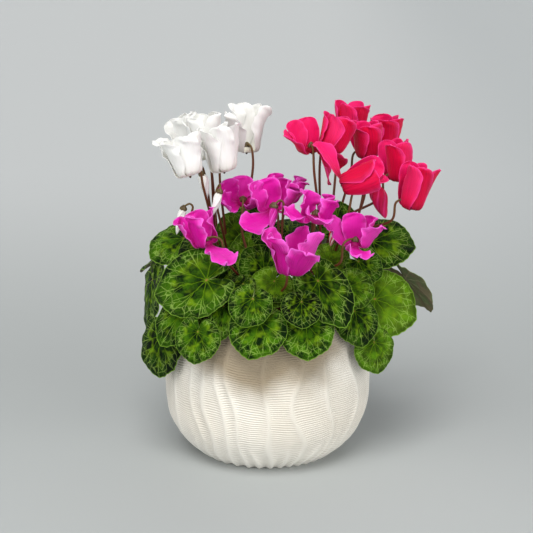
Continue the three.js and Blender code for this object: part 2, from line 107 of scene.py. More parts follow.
# %% Points, triangles and marks of a grid
def placed(at, *moves):
    """A grid of points: one place, plus each grid of lengths times the direction that goes with it."""
    points = np.array(at, float)
    for length, direction in moves:
        points = points + length[..., None] * direction
    return points


def grid_triangles(rows, columns, wrap):
    """Two triangles for each cell of a grid numbered row by row. wrap joins the last column to the first."""
    steps = columns if wrap else columns - 1
    row, column = np.meshgrid(np.arange(rows - 1), np.arange(steps), indexing="ij")
    a = row * columns + column
    b = row * columns + (column + 1) % columns
    c, d = b + columns, a + columns
    lower, upper = np.stack([a, b, c], -1), np.stack([a, c, d], -1)
    return np.concatenate([lower.reshape(-1, 3), upper.reshape(-1, 3)])


def grid_normals(points, wrap):
    """Unit normals of a grid: the difference along a row crossed with the difference along a column."""
    if wrap:
        ring = np.concatenate([points[:, -1:], points, points[:, :1]], axis=1)
        across = ring[:, 2:] - ring[:, :-2]
    else:
        across = np.gradient(points, axis=1)
    return unit(np.cross(across, np.gradient(points, axis=0)))


def row_share(grid, low=0, high=1):
    """A number for each point of a grid, even steps from its first row to its last."""
    return np.linspace(low, high, len(grid))[:, None] + np.zeros((1, grid.shape[1]))


def grid_marks(u, v, w, seed):
    """The marks of a grid's points, with 0 for the side that a blade fills in later."""
    u, v, w, side, seed = np.broadcast_arrays(u, v, w, 0.0, float(seed))
    return np.stack([u, v, w, side, seed], axis=-1).reshape(-1, 5)


# %% Lathe forms
def lathe(points, marks):
    """A grid whose columns run round an axis, closed by a fan at its first and its last row."""
    rows, columns, _ = points.shape
    count, around = rows * columns, np.arange(columns)
    onward = (around + 1) % columns
    low = np.stack([np.full(columns, count), onward, around], -1)
    high = np.stack([np.full(columns, count + 1), count - columns + around, count - columns + onward], -1)
    ends = np.stack([points[0].mean(0), points[-1].mean(0)])
    triangles = np.concatenate([grid_triangles(rows, columns, True), low, high])
    end_marks = np.stack([marks[:columns].mean(0), marks[-columns:].mean(0)])
    return np.vstack([points.reshape(-1, 3), ends]), triangles, np.vstack([marks, end_marks])


# %% Blades
def blade(points, thickness, marks, centre=None):
    """A grid moved half the thickness to each side along its normals, with a rim round its outer edge.
    With a centre point given, the columns wrap round it and a fan joins the first row to it."""
    rows, columns, _ = points.shape
    wrap = centre is not None
    middle = points.reshape(-1, 3)
    normals = grid_normals(points, wrap).reshape(-1, 3)
    half = np.broadcast_to(thickness / 2, (rows, columns)).reshape(-1, 1)
    triangles = grid_triangles(rows, columns, wrap)
    last = (rows - 1) * columns
    if wrap:
        around = np.arange(columns)
        fan = np.stack([np.full(columns, len(middle)), (around + 1) % columns, around], -1)
        triangles = np.concatenate([triangles, fan])
        middle = np.vstack([middle, centre])
        normals = np.vstack([normals, unit(normals[:columns].mean(0))])
        half = np.vstack([half, half[:columns].mean(0)])
        edge = last + around[::-1]
    else:
        right = np.arange(1, rows) * columns + columns - 1
        left = np.arange(rows - 2, 0, -1) * columns
        edge = np.concatenate([np.arange(columns), right, last + np.arange(columns - 2, -1, -1), left])
    count, onward = len(middle), np.roll(edge, -1)
    rim = np.concatenate([
        np.stack([edge, edge + count, onward + count], -1),
        np.stack([edge, onward + count, onward], -1),
    ])
    under = marks.copy()
    under[:, 3] = 1
    faces = np.concatenate([triangles, triangles[:, ::-1] + count, rim])
    return np.vstack([middle + normals * half, middle - normals * half]), faces, np.vstack([marks, under])


def stacked(shells):
    """Several closed shells as one mesh, with the corners of the later ones renumbered."""
    starts = np.cumsum([0] + [len(shell[0]) for shell in shells[:-1]])
    triangles = [shell[1] + start for shell, start in zip(shells, starts)]
    return np.vstack([s[0] for s in shells]), np.concatenate(triangles), np.vstack([s[2] for s in shells])


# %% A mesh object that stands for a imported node
made = {"pieces": 0, "triangles": 0}


def put_in_scene(name, data):
    """An object of the scene, at the origin, that shows the data."""
    shown = bpy.data.objects.new(name, data)
    bpy.context.scene.collection.objects.link(shown)
    return shown


def add_piece(name, shell, material, node, crease=50):
    """Put a closed shell, in millimetres, into a mesh object that rides on the root body."""
    points, triangles, marks = shell
    mesh = bpy.data.meshes.new(name)
    mesh.vertices.add(len(points))
    mesh.vertices.foreach_set("co", (points * MM).astype(np.float32).ravel())
    mesh.loops.add(triangles.size)
    mesh.loops.foreach_set("vertex_index", triangles.astype(np.int32).ravel())
    mesh.polygons.add(len(triangles))
    mesh.polygons.foreach_set("loop_start", np.arange(0, triangles.size, 3, dtype=np.int32))
    mesh.polygons.foreach_set("use_smooth", np.ones(len(triangles), dtype=bool))
    mesh.update(calc_edges=True)
    mesh.set_sharp_from_angle(angle=math.radians(crease))
    for title, kind, values in [
        ("place", "FLOAT_VECTOR", marks[:, :3]),
        ("under", "FLOAT", marks[:, 3]),
        ("seed", "FLOAT", marks[:, 4]),
    ]:
        attribute = mesh.attributes.new(title, kind, "POINT")
        field = "vector" if kind == "FLOAT_VECTOR" else "value"
        attribute.data.foreach_set(field, values.astype(np.float32).ravel())
    mesh.materials.append(material)
    piece = put_in_scene(name, mesh)
    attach(piece, "root")
    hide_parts(node)
    made["pieces"] += 1
    made["triangles"] += len(triangles)


# %% [markdown]
# ## Shader maths as plain arithmetic
#
# A material's pattern is a formula too. A small class wraps the socket that a value comes out of, so that
# `1 - mask` or `veins * 0.5` adds the Math nodes by itself. Its operators come from one function. A second
# class holds one material while it is put together, with its Principled shader, and has one method for any
# node at all.

# %% A wire that takes part in sums
def operator(name, swapped=False):
    """A method that adds the Math node of that name. Swapped is for a number on the left, as in 1 - mask."""
    def method(wire, *other):
        return wire.finish.math(name, *other, wire) if swapped else wire.finish.math(name, wire, *other)

    return method


class Wire:
    """The value that leaves a node's socket. Arithmetic on it adds Math nodes to the same material."""

    def __init__(self, finish, socket):
        self.finish, self.socket = finish, socket

    __add__ = __radd__ = operator("ADD")
    __sub__, __rsub__ = operator("SUBTRACT"), operator("SUBTRACT", swapped=True)
    __mul__ = __rmul__ = operator("MULTIPLY")
    __pow__, __abs__ = operator("POWER"), operator("ABSOLUTE")


# %% A material under construction
class Finish:
    """A material under construction: a Principled shader and the nodes that feed it."""

    def __init__(self, name, settings):
        self.material = bpy.data.materials.new(name)
        self.material.use_nodes = True
        self.tree = self.material.node_tree
        self.tree.nodes.clear()
        self.shader = self.node("ShaderNodeBsdfPrincipled", {}, settings)
        self.node("ShaderNodeOutputMaterial", {}, {"Surface": Wire(self, self.shader.outputs[0])})

    def node(self, kind, settings, inputs):
        """A node of any type: its settings come first, then a value or a wire for each named socket."""
        node = self.tree.nodes.new(kind)
        for key, value in settings.items():
            setattr(node, key, value)
        for key, value in inputs.items():
            if isinstance(value, Wire):
                self.tree.links.new(value.socket, node.inputs[key])
            else:
                node.inputs[key].default_value = value
        return node

    def value(self, kind, settings, inputs, output=0):
        return Wire(self, self.node(kind, settings, inputs).outputs[output])

    def math(self, operation, *values):
        return self.value("ShaderNodeMath", {"operation": operation}, dict(enumerate(values)))

    def ease(self, value, low, high):
        inputs = {"Value": value, "From Min": low, "From Max": high}
        return self.value("ShaderNodeMapRange", {"interpolation_type": "SMOOTHSTEP"}, inputs)

    def mark(self, name):
        """A mark of the mesh: its vector place, or its numbers under and seed."""
        output = 1 if name == "place" else 2
        return self.value("ShaderNodeAttribute", {"attribute_name": name}, {}, output)

    def object_place(self):
        """Where a point is in its object's own coordinates, in metres."""
        return self.value("ShaderNodeTexCoord", {}, {}, 3)

    def split(self, vector):
        node = self.node("ShaderNodeSeparateXYZ", {}, {0: vector})
        return [Wire(self, socket) for socket in node.outputs]

    def joined(self, x, y, z):
        return self.value("ShaderNodeCombineXYZ", {}, {0: x, 1: y, 2: z})

    def noise(self, vector, scale, detail):
        inputs = {"Vector": vector, "Scale": scale, "Detail": detail}
        return self.value("ShaderNodeTexNoise", {}, inputs)

    def cells(self, vector, scale):
        """How far a point is from the nearest wall between irregular cells."""
        inputs = {"Vector": vector, "Scale": scale}
        return self.value("ShaderNodeTexVoronoi", {"feature": "DISTANCE_TO_EDGE"}, inputs)

    def mix(self, first, second, factor):
        inputs = {0: factor, 6: first, 7: second}
        return self.value("ShaderNodeMix", {"data_type": "RGBA"}, inputs, 2)

    def feed(self, name, wire):
        self.tree.links.new(wire.socket, self.shader.inputs[name])

    def bump(self, height, strength, distance):
        inputs = {"Height": height, "Strength": strength, "Distance": distance}
        self.feed("Normal", self.value("ShaderNodeBump", {}, inputs))


# %% Colours
def tone(red, green, blue):
    """A screen colour from 0 to 255 as the linear colour that a shader works in."""
    parts = np.array([red, green, blue]) / 255
    linear = np.where(parts <= 0.04045, parts / 12.92, ((parts + 0.055) / 1.055) ** 2.4)
    return (*linear.tolist(), 1.0)


# %% [markdown]
# ## Camera, floor and light
#
# The plant is seen from the front and a little above, through a long lens that keeps its sides straight.
# It stands on a large pale floor that fills the picture. Painted shade darkens the floor in a band round the
# plant and towards its right, and painted light makes it a little lighter further back. Four far and very wide
# lights make the soft shade of a studio: a key from above and in front, a fill from either side and a weak one
# from behind. An even grey sky softens the rest.

# %% The camera
PHOTO_SIDE = 533
FOCAL_PIXELS = 1737
SENSOR = 36.0
ELEVATION = math.radians(16)
DISTANCE = 1.5
AIM = (-0.0006, 0.0, 0.1641)

camera_data = bpy.data.cameras.new("camera")
camera_data.sensor_width = SENSOR
camera_data.lens = FOCAL_PIXELS / PHOTO_SIDE * SENSOR
camera = put_in_scene("camera", camera_data)
away = DISTANCE * math.cos(ELEVATION)
camera.location = (AIM[0], AIM[1] - away, AIM[2] + DISTANCE * math.sin(ELEVATION))
camera.rotation_euler = (math.pi / 2 - ELEVATION, 0, 0)
bpy.context.scene.camera = camera
bpy.context.scene.view_settings.view_transform = "Standard"
print("lens:", round(camera_data.lens, 1), "mm")

# %% The lights and the sky
SKY_TONE, SKY_STRENGTH = tone(226, 229, 231), 0.4
LAMP_AIM = (0, 0, 0.15)
LAMPS = [
    ("key_light", (-0.2, -0.9, 1.8), 2.0, 34, (1.0, 0.985, 0.96)),
    ("left_fill", (-1.9, -1.5, 0.5), 1.3, 60, (1.0, 0.99, 0.97)),
    ("right_fill", (1.6, -1.9, 0.4), 2.15, 60, (1.0, 0.99, 0.97)),
    ("back_light", (0.7, 1.6, 1.5), 0.5, 60, (1.0, 1.0, 1.0)),
]


def add_lamp(name, place, power, spread, colour):
    """A far light that faces the middle of the plant and spreads over so many degrees."""
    data = bpy.data.lights.new(name, "SUN")
    data.energy, data.angle, data.color = power, math.radians(spread), colour
    lamp = put_in_scene(name, data)
    reach = np.array(place) - np.array(LAMP_AIM)
    flat = math.hypot(reach[0], reach[1])
    lamp.location = place
    lamp.rotation_euler = (math.atan2(flat, reach[2]), 0, math.atan2(reach[0], -reach[1]))


for lamp in LAMPS:
    add_lamp(*lamp)

world = bpy.data.worlds.new("grey_sky")
world.use_nodes = True
sky = world.node_tree.nodes["Background"]
sky.inputs["Color"].default_value = SKY_TONE
sky.inputs["Strength"].default_value = SKY_STRENGTH
bpy.context.scene.world = world

# %% The floor
FLOOR_SIDE = 40.0

paper = Finish("pale_floor", {"Roughness": 0.9, "Specular IOR Level": 0.2})
floor_side, floor_depth, _ = paper.split(paper.object_place())
# Painted shade makes the floor darker in a band round and just behind the plant, and painted light makes it
# lighter further back.
floor_with_painted_shade = paper.mix(tone(180, 184, 184), tone(170, 174, 174), paper.ease(floor_depth, -0.2, 0.1))
floor_with_painted_shade = paper.mix(floor_with_painted_shade, tone(186, 189, 190), paper.ease(floor_depth, 0.2, 1.1))
# Painted shade: the floor is darker towards the plant's right, where its shadow falls.
painted_shade_to_right = paper.ease(floor_side, 0.1, 0.5) * 0.5
paper.feed("Base Color", paper.mix(floor_with_painted_shade, tone(160, 165, 167), painted_shade_to_right))
floor_mesh = bpy.data.meshes.new("floor")
edge = FLOOR_SIDE / 2
corners = [(-edge, -edge, 0), (edge, -edge, 0), (edge, edge, 0), (-edge, edge, 0)]
floor_mesh.from_pydata(corners, [], [(0, 1, 2, 3)])
floor_mesh.materials.append(paper.material)
floor = put_in_scene("floor", floor_mesh)

# %% [markdown]
# ## The pot
#
# The bowl was thrown and then combed: wavy flutes run down its side, with smooth rounded crests, and in the
# faces between them a comb has left fine, nearly level grooves. About a third of the crests sink into broad
# faces at the belly, and all of them stand out again at the foot. A displacement map could fake that, but
# then the shape would not be in the mesh. Here the bowl's radius is one formula of the turn and the height,
# so that flutes and grooves are both real.

# %% The bowl's outline
BELLY_RADIUS, FOOT_RADIUS, RIM_RADIUS = 90, 58, 81
BELLY_HEIGHT, POT_HEIGHT, SIDE_POWER = 74, 132, 3.4
WALL, POT_FLOOR, SOIL_TOP, GAP = 6.5, 7, 119, 0.3
FINE_STEPS = 2000


def bowl_radius(z):
    """Above the belly it falls with the square of the height; below it falls to the foot by a power."""
    rise = np.maximum(z - BELLY_HEIGHT, 0) / (POT_HEIGHT - BELLY_HEIGHT)
    above = BELLY_RADIUS - (BELLY_RADIUS - RIM_RADIUS) * rise**2
    low = np.maximum(1 - z / BELLY_HEIGHT, 0)
    below = FOOT_RADIUS + (BELLY_RADIUS - FOOT_RADIUS) * (1 - low**SIDE_POWER)
    return np.where(z > BELLY_HEIGHT, above, below)


def even_heights(low, high, count):
    """Heights that lie evenly along the bowl's side, measured along its curve."""
    fine = np.linspace(low, high, FINE_STEPS)
    steps = np.hypot(np.diff(fine), np.diff(bowl_radius(fine)))
    length = np.concatenate([[0], np.cumsum(steps)])
    return np.interp(np.linspace(0, length[-1], count), length, fine), length[-1]


# %% The crests and the combed faces
FLUTES, FLUTE_DEPTH, CREST_POWER = 40, 1.6, 1.6
FAINT_PACE, FAINT_LIMIT, FAINT_LOSS = 2.9, 0.45, 0.8
GROOVE_PITCH, GROOVE_DEPTH = 2.0, 0.3
LENGTH_SHARE, HEIGHT_LEAN = 0.25, 0.29
FOOT_DENT, FOOT_LIFT, FOOT_UNDERCUT = 2.6, 0.6, 1.2

FAINT = np.sin(FAINT_PACE * np.arange(FLUTES)) > FAINT_LIMIT
FACE_OF = np.cumsum(~FAINT) - 1
FACE_MIDDLE = np.bincount(FACE_OF, weights=np.arange(FLUTES) + 0.5) / np.bincount(FACE_OF)
print("crests:", FLUTES, "of them faint at the belly:", int(FAINT.sum()))


def fluted_side(turn, z, along):
    """Radius: the bowl's, less the flute depth times 1 - crest, less the comb's grooves between the crests.
    A crest is (0.5 + 0.5 cos(flutes x turn))^1.6 of a turn that wanders, so that crests draw together and
    part. A faint crest sinks into the face round it above the foot. A groove is a sine of the run along the
    side, a quarter of it true length and the rest height as it looks from a little above, and slants by
    another amount on each face."""
    wander = 0.045 * np.sin(9 * turn + z / 17) * np.sin(4 * turn - z / 31)
    wander = wander + 0.03 * np.sin(5 * turn - z / 12)
    flute = FLUTES * (turn + wander * ease(z, -10, 30))
    place = flute / (2 * math.pi) % FLUTES
    faint = FAINT[np.round(place).astype(int) % FLUTES] * ease(z, 14, 40)
    crest = (0.5 + 0.5 * np.cos(flute)) ** CREST_POWER * (1 - FAINT_LOSS * faint)
    strength = 0.6 + 0.3 * np.sin(7 * turn + z / 24) * np.sin(11 * turn - z / 33)
    face = FACE_OF[np.floor(place).astype(int) % FLUTES]
    across = place - FACE_MIDDLE[face]
    slope = 0.9 * np.sin(2.4 * face + z / 37) + 0.4 * np.sin(7.7 * face)
    bundle = 0.25 * np.sin(z / 5.3 + 3 * face) + 0.3 * across**2 * np.sin(1.7 * face + z / 9)
    height = z - HEIGHT_LEAN * (bowl_radius(z) - FOOT_RADIUS)
    run = LENGTH_SHARE * along + (1 - LENGTH_SHARE) * height
    phase = run / GROOVE_PITCH + slope * across + bundle
    combed = ease(1 - crest, 0.04, 0.4) * ease(z, 2, 5)
    fade = ease(z, POT_HEIGHT + 1, POT_HEIGHT - 12)
    dent = FLUTE_DEPTH * (1 - crest) * strength * blend(0.5, 1, fade)
    dent = dent + FOOT_DENT * (1 - crest) * ease(z, 38, 0)
    dent = dent + GROOVE_DEPTH * combed * (0.5 + 0.5 * np.sin(2 * math.pi * phase))
    return bowl_radius(z) - dent, phase, combed


# %% The whole pot as one grid
POT_COLUMNS, POT_ROWS, LIP_ROWS, INNER_ROWS = 280, 330, 8, 14
LIP = WALL / 2

turn = full_turn(POT_COLUMNS)
heights, side_length = even_heights(FOOT_LIFT, POT_HEIGHT - LIP, POT_ROWS)
heights = heights[:, None]
along = np.linspace(0, side_length, POT_ROWS)[:, None]
radius, phase, combed = fluted_side(turn, heights, along)
lip_turn = np.linspace(0, math.pi, LIP_ROWS + 1)[1:, None]
inner, _ = even_heights(POT_FLOOR, POT_HEIGHT - LIP, INNER_ROWS)
inner = inner[::-1, None]
lip_radius, lip_height = LIP * (1 - np.cos(lip_turn)), POT_HEIGHT - LIP + LIP * np.sin(lip_turn)
bands = [
    (radius[:1] - FOOT_UNDERCUT, 0, phase[:1], combed[:1]),
    (radius, heights, phase, combed),
    (radius[-1:] - lip_radius, lip_height, 0, 0),
    (bowl_radius(inner) - WALL, inner, 0, 0),
]
bands = [np.broadcast_arrays(*band, turn)[:4] for band in bands]
radius, heights, phase, combed = [np.concatenate(parts) for parts in zip(*bands)]
sway = 0.05 * np.sin(heights / 21 + 0.9 * np.sin(3 * turn))
points = np.stack([radius * np.cos(turn + sway), radius * np.sin(turn + sway), heights], axis=-1)
pot_shell = lathe(points, grid_marks(phase, heights, combed, 0))
print("pot triangles:", len(pot_shell[1]))

# %% [markdown]
# The ceramic is a warm off-white with a matt skin. Towards the foot it is painted lighter, painted light where
# the side turns down away from the lamps. The clay shows a little browner in the comb's grooves, and very fine
# grains roughen it. Under the leaves at the front a brownish patch is partly a water stain and partly painted
# shade of the leaves that hang over it; it runs down furthest a little left of the middle.

# %% The ceramic
ceramic = Finish("combed_ceramic", {"Roughness": 0.62, "Specular IOR Level": 0.3})
coordinates = ceramic.object_place()
phase, height, combed = ceramic.split(ceramic.mark("place"))
cloud = ceramic.noise(coordinates, 14.0, 3.0)
grain = ceramic.noise(coordinates, 900.0, 2.0)
groove = ceramic.math("SINE", phase * (2 * math.pi)) * 0.5 + 0.5
worn = 0.34 - ceramic.ease(height, 60.0, 110.0) * 0.2
clay = ceramic.mix(tone(240, 236, 227), tone(231, 225, 213), ceramic.ease(cloud, 0.3, 0.75))
# Painted light: the clay is painted lighter towards the foot, where the side turns down away from the lamps.
clay = ceramic.mix(clay, tone(252, 249, 242), ceramic.ease(height, 45.0, 0.0) * 0.8)
across_pot, into_pot, _ = ceramic.split(coordinates)
# The brownish patch below is partly a water stain and partly painted shade of the leaves that hang over the
# front; it reaches lowest a little left of the middle.
toward_front = ceramic.ease(into_pot, -0.035, -0.075)
stain_and_shade_reach = (1 - ceramic.ease(abs(across_pot + 0.015), 0.004, 0.032)) * 20
stain_and_leaf_shade = ceramic.ease(height + (cloud - 0.5) * 60 + stain_and_shade_reach, 78.0, 108.0) * toward_front
clay = ceramic.mix(clay, tone(150, 133, 106), stain_and_leaf_shade * 0.9)
lines = ceramic.ease(groove, 0.58, 1.0) * (combed * 0.85 + 0.15) * worn
ceramic.feed("Base Color", ceramic.mix(clay, tone(158, 138, 110), lines))
ceramic.feed("Roughness", 0.55 + cloud * 0.2)
ceramic.bump(grain * 0.15 + (1 - groove * combed), 0.5, 0.0004)
add_piece("fluted_pot", pot_shell, ceramic.material, "pot", 80)

# %% [markdown]
# ## The soil
#
# Dark potting soil fills the bowl to a finger's width below its rim. It is a lathe form like the pot, but
# its top is heaved up and down by a few wandering waves, and finer crumbs come from its material's bump.

# %% The filling and its crumbly top
SOIL_COLUMNS, SOIL_SIDE_ROWS, SOIL_TOP_ROWS = 180, 16, 70
soil_turn = full_turn(SOIL_COLUMNS)
sides, _ = even_heights(POT_FLOOR + GAP, SOIL_TOP - 1, SOIL_SIDE_ROWS)
side_radius = bowl_radius(sides) - WALL - GAP
top_radius = np.linspace(side_radius[-1] - 0.5, 0.5, SOIL_TOP_ROWS)
soil_radius = np.concatenate([[side_radius[0] - 1], side_radius, top_radius])[:, None]
soil_height = np.concatenate([[POT_FLOOR + GAP], sides, np.full(SOIL_TOP_ROWS, SOIL_TOP)])[:, None]
x, y = soil_radius * np.cos(soil_turn), soil_radius * np.sin(soil_turn)
heave = 0.9 * ripple(x / 3.1, y / 3.1, 11) + 0.7 * ripple(x / 1.3, y / 1.3, 12) - 0.9
z = soil_height + np.where(soil_height >= SOIL_TOP, heave, 0)
soil_shell = lathe(np.stack([x, y, z], axis=-1), grid_marks(x, y, z, 0))

earth = Finish("potting_soil", {"Roughness": 0.95, "Specular IOR Level": 0.2})
ground = earth.object_place()
crumbs = earth.noise(ground, 420.0, 4.0)
clods = earth.noise(ground, 90.0, 2.0)
peat = earth.mix(tone(26, 18, 12), tone(74, 54, 38), earth.ease(crumbs, 0.4, 0.7))
earth.feed("Base Color", earth.mix(peat, tone(20, 14, 10), earth.ease(clods, 0.5, 0.7)))
earth.bump(crumbs, 0.9, 0.0015)
add_piece("soil_filling", soil_shell, earth.material, "soil")

# %% [markdown]
# ## What grows where
#
# These tables were chosen from the picture, and are the same as in the imported model. `at` is where a
# leaf or bloom meets its stalk, and `tip` its far end. `sweep` is the way that a bloom's petals point,
# `side` the side its stalk comes in from, and a flare is how far each of the five petals leans out. `face`
# is the way that a leaf's upper side looks, and `via` a place that the stalk passes.

# %% What a row holds
BLOOM_FIELDS = "at sweep side length flares width via"
BUD_FIELDS = "at tip side radius via striped"
LEAF_FIELDS = "at tip face width via lead"


def table(fields, rows):
    """Each row as a dict with the fields' names. None, or a missing end, stands for the usual value."""
    names = fields.split()
    return [{name: value for name, value in zip(names, row) if value is not None} for row in rows]


# %% The white plant
PLANTS = {}
PLANTS["white"] = dict(
    crown=(-36, 20, 0),
    blooms=table(BLOOM_FIELDS, [
        ((-65, -26, 252), (-0.3, 0.2, 0.93), (0.7, 0.7, 0), 40, (4, 4, 10, 14, 8)),
        ((-52, 30, 254), (-0.12, 0.1, 1), (0.3, -1, 0), 45, (4,) * 5),
        ((-37, -1, 250), (-0.22, 0.1, 1), (-0.3, 1, 0), 46, (2, 2, 6, 10, 2)),
        ((-18, 54, 255), (0.05, 0.1, 1), (0.4, -1, 0), 48, (6, 2, 0, 4, 28), 12.5),
        ((-65, 68, 254), (-0.4, 0.1, 0.9), (0.9, 0.3, 0), 38, (4, 4, 44, 6, 4), 12.5),
    ]),
    buds=table(BUD_FIELDS, [
        ((-71, -14, 219), (-77, -16, 197), (1, 0, 0), 3.6, (-48, 4, 172)),
        ((-40, -24, 236), (-46, -26, 216), (-0.3, 1, 0), 3.4),
        ((-56, 8, 244), (-51, 8, 224), (0.2, 1, 0), 4.2),
    ]),
)

# %% The magenta plant
PLANTS["magenta"] = dict(
    crown=(0, -26, 0),
    blooms=table(BLOOM_FIELDS, [
        ((-50, -48, 197), (-0.2, 0.1, 1), (1, -0.15, 0), 36, (4, 8, 18, 10, 108), 13.5),
        ((-21, 5, 220), (0.1, -0.5, 0.8), (0, -1, -0.3), 24, (28, 34, 26, 38, 40), 12),
        ((5, -32, 222), (0, -0.1, 1), (0.3, -1, 0), 32, (30, 16, 8, 20, 100), 13.5),
        ((15, 10, 221), (0.15, 0, 1), (0, 1, 0), 28, (10,) * 5, 12.5),
        ((39, -58, 222), (0.2, 0, 1), (0, 1, 0), 28, (0, 72, 60, 10, 4), 12.5),
        ((20, -82, 183), (0, 0.05, 1), (-0.3, 1, 0), 44, (16, 20, 44, 20, 8), 15, (6, -52, 150)),
        ((73, -46, 196), (0.1, 0, 1), (-0.7, -0.5, 0), 32, (80, 24, 10, 8, 36), 12, (36, -32, 168)),
    ]),
    buds=table(BUD_FIELDS, [((6, -54, 231), (3, -56, 210), (1, 0.3, 0), 3.4)]),
)

# %% The red plant
PLANTS["red"] = dict(
    crown=(46, 18, 0),
    blooms=table(BLOOM_FIELDS, [
        ((38, 12, 264), (-0.1, 0, 1), (0.1, -1, 0), 34, (165, 130, 4, 12, 36), None, (46, 2, 190)),
        ((54, 24, 262), (0.32, 0.1, 1), (-0.6, 1, 0), 38, (2,) * 5),
        ((72, 88, 259), (0.15, 0, 1), (-0.6, 1, 0), 40, (4,) * 5, None, (56, 44, 192)),
        ((88, 51, 251), (-0.1, 0, 1), (-1, 0.3, 0), 36, (2,) * 5),
        ((106, 98, 250), (0, 0, 1), (-1, 0.5, 0), 34, (6,) * 5, None, (78, 52, 186)),
        ((113, 23, 237), (-0.12, 0, 1), (-1, -0.2, 0), 40, (-2,) * 5, 11, (62, 22, 196)),
        ((65, -18, 241), (0.85, -0.2, 0.4), (-0.3, -0.2, -1), 42, (4, 6, 100, 2, 6), 12.5),
        ((121, -14, 221), (0.15, 0, 1), (-1, 0, 0), 44, (-4, -2, 10, -2, -4), 11.5, (66, 8, 188)),
    ]),
    buds=table(BUD_FIELDS, [
        ((57, -12, 205), (54, -14, 186), (0.3, 0.9, 0), 3.4, None, True),
        ((36, -2, 224), (34, -4, 209), (0.6, 0.9, 0), 3),
        ((93, 12, 232), (102, 8, 205), (-1, 0.4, 0), 7),
    ]),
)

# %% The large leaves
LEAVES = table(LEAF_FIELDS, [
    ((-50, -65, 171), (-99, -51, 155), (-0.1, -0.9, 0.5), 0.75, (-28, -44, 150)),
    ((-44, -32, 158), (-32, -28, 182), (0.1, -0.9, 0.4), 0.9),
    ((-66, -55, 147), (-92, -68, 116), (-0.4, -0.8, 0.4), 0.65, (-30, -40, 142)),
    ((-90, -40, 114), (-97, -50, 80), (-0.7, -0.7, 0.2), None, None, (12, 4)),
    ((-57, -80, 131), (-62, -90, 106), (-0.3, -0.9, 0.3), None, (-34, -60, 137)),
    ((-99, 0, 152), (-111, -6, 110), (-1, -0.3, 0.2), 0.8),
    ((-72, 4, 188), (-102, -8, 177), (-0.2, -0.5, 0.85)),
    ((-50, -28, 190), (-76, -34, 186), (0, -0.6, 0.8)),
    ((-6, -88, 143), (-16, -107, 117), (-0.1, -0.8, 0.6)),
    ((-20, -63, 167), (-28, -82, 157), (-0.1, -0.7, 0.7), 0.7),
    ((32, -84, 140), (34, -104, 115), (0.1, -0.8, 0.5)),
    ((42, -64, 170), (66, -88, 140), (0.2, -0.9, 0.4), 0.68),
    ((68, -48, 160), (92, -46, 154), (0.2, -0.9, 0.5)),
    ((73, -52, 140), (82, -66, 113), (0.4, -0.9, 0.3), 0.9),
    ((92, -22, 142), (131, -24, 126), (0.2, -0.8, 0.6)),
    ((92, 18, 182), (130, 14, 182), (0.1, -0.6, 0.8)),
    ((120, 6, 152), (147, 10, 124), (0.4, 0.6, 0.7), 0.7, (88, 14, 150)),
    ((90, 46, 160), (120, 64, 138), None, 0.85),
    ((48, 78, 176), (60, 116, 154), None, 0.85),
    ((12, 74, 160), (16, 112, 138), None, 0.85),
    ((-28, 76, 176), (-42, 112, 156), None, 0.85),
    ((-60, 60, 158), (-84, 88, 134), None, 0.85),
    ((-80, 40, 172), (-116, 50, 150), None, 0.85),
    ((-36, -70, 150), (-38, -86, 126), (-0.1, -0.85, 0.5), 0.6),
])

# %% The young leaves, which are one with their plant
YOUNG_LEAVES = table(LEAF_FIELDS, [
    ((-22, 14, 186), (-38, 24, 206), (0, -0.8, 0.5)),
    ((-12, -12, 172), (-23, -8, 196), (0, -0.9, 0.3)),
    ((-2, -47, 174), (-20, -45, 192), (0, -0.9, 0.4)),
    ((6, -58, 168), (-6, -72, 150), (-0.1, -0.9, 0.5)),
    ((-12, -88, 162), (-22, -100, 142), (-0.1, -0.9, 0.5), None, (2, -60, 150)),
    ((28, -90, 160), (28, -106, 143), (0, -0.8, 0.6), None, (14, -64, 150)),
    ((10, -56, 163), (0, -72, 157), (0, -0.6, 0.8)),
    ((90, -50, 112), (96, -58, 86), (0.5, -0.8, 0.2), None, (66, -36, 142)),
    ((77, -26, 176), (99, -28, 164), (0.1, -0.8, 0.6)),
    ((52, -16, 173), (70, -6, 182), (0.1, -0.8, 0.6)),
    ((62, 26, 192), (60, 32, 216), (0.1, -0.9, 0.3)),
    ((-8, 44, 200), (-8, 52, 224), (0, -0.8, 0.5)),
    ((20, 44, 178), (24, 66, 192)),
    ((4, -8, 183), (-2, -4, 206), (0, -0.9, 0.3)),
])
print("leaves:", len(LEAVES), "large and", len(YOUNG_LEAVES), "young")

# %% [markdown]
# ## A leaf
#
# A cyclamen's leaf is a heart whose stalk joins it at the bottom of a deep notch. In the grid, one
# parameter runs round the outline and the other from the stalk to the margin. The blade droops along its
# length, rolls down at its sides, waves along its margin, is puffed up between the main veins and has small
# blunt teeth.

# %% The frame and the outline of a leaf
LEAF_NOTCH = 0.05


def leaf_frame(leaf):
    """Where a leaf is, the way it points, the way it faces, the way across it, and its length."""
    at = np.array(leaf["at"], float)
    along = np.array(leaf["tip"], float) - at
    length = np.linalg.norm(along)
    along = along / length
    face = square_to(leaf.get("face", (at[0] / BELLY_RADIUS, at[1] / BELLY_RADIUS, 0.8)), along)
    return at, along, face, np.cross(face, along), length


def leaf_edge(angle):
    """Reach of the outline: a heart with a small point that narrows with the angle, less the notch, with a
    wave and teeth."""
    far = np.abs(angle) / math.pi
    heart = 0.945 - 0.57 * far**1.25 + 0.03 * np.exp(-((far / 0.1) ** 2))
    notch = 0.4 * np.exp(-(((1 - far) / 0.055) ** 2))
    teeth = 0.009 * np.cos(30 * angle) * ease(far, 0.95, 0.85)
    return np.maximum(heart - notch, LEAF_NOTCH) * (1 + 0.012 * np.cos(9 * angle) + teeth)


# %% The blade of a leaf
LEAF_THICKNESS, LEAF_DROOP, LEAF_CUP, VEIN_SPREAD = 0.9, 0.35, 0.3, 0.62


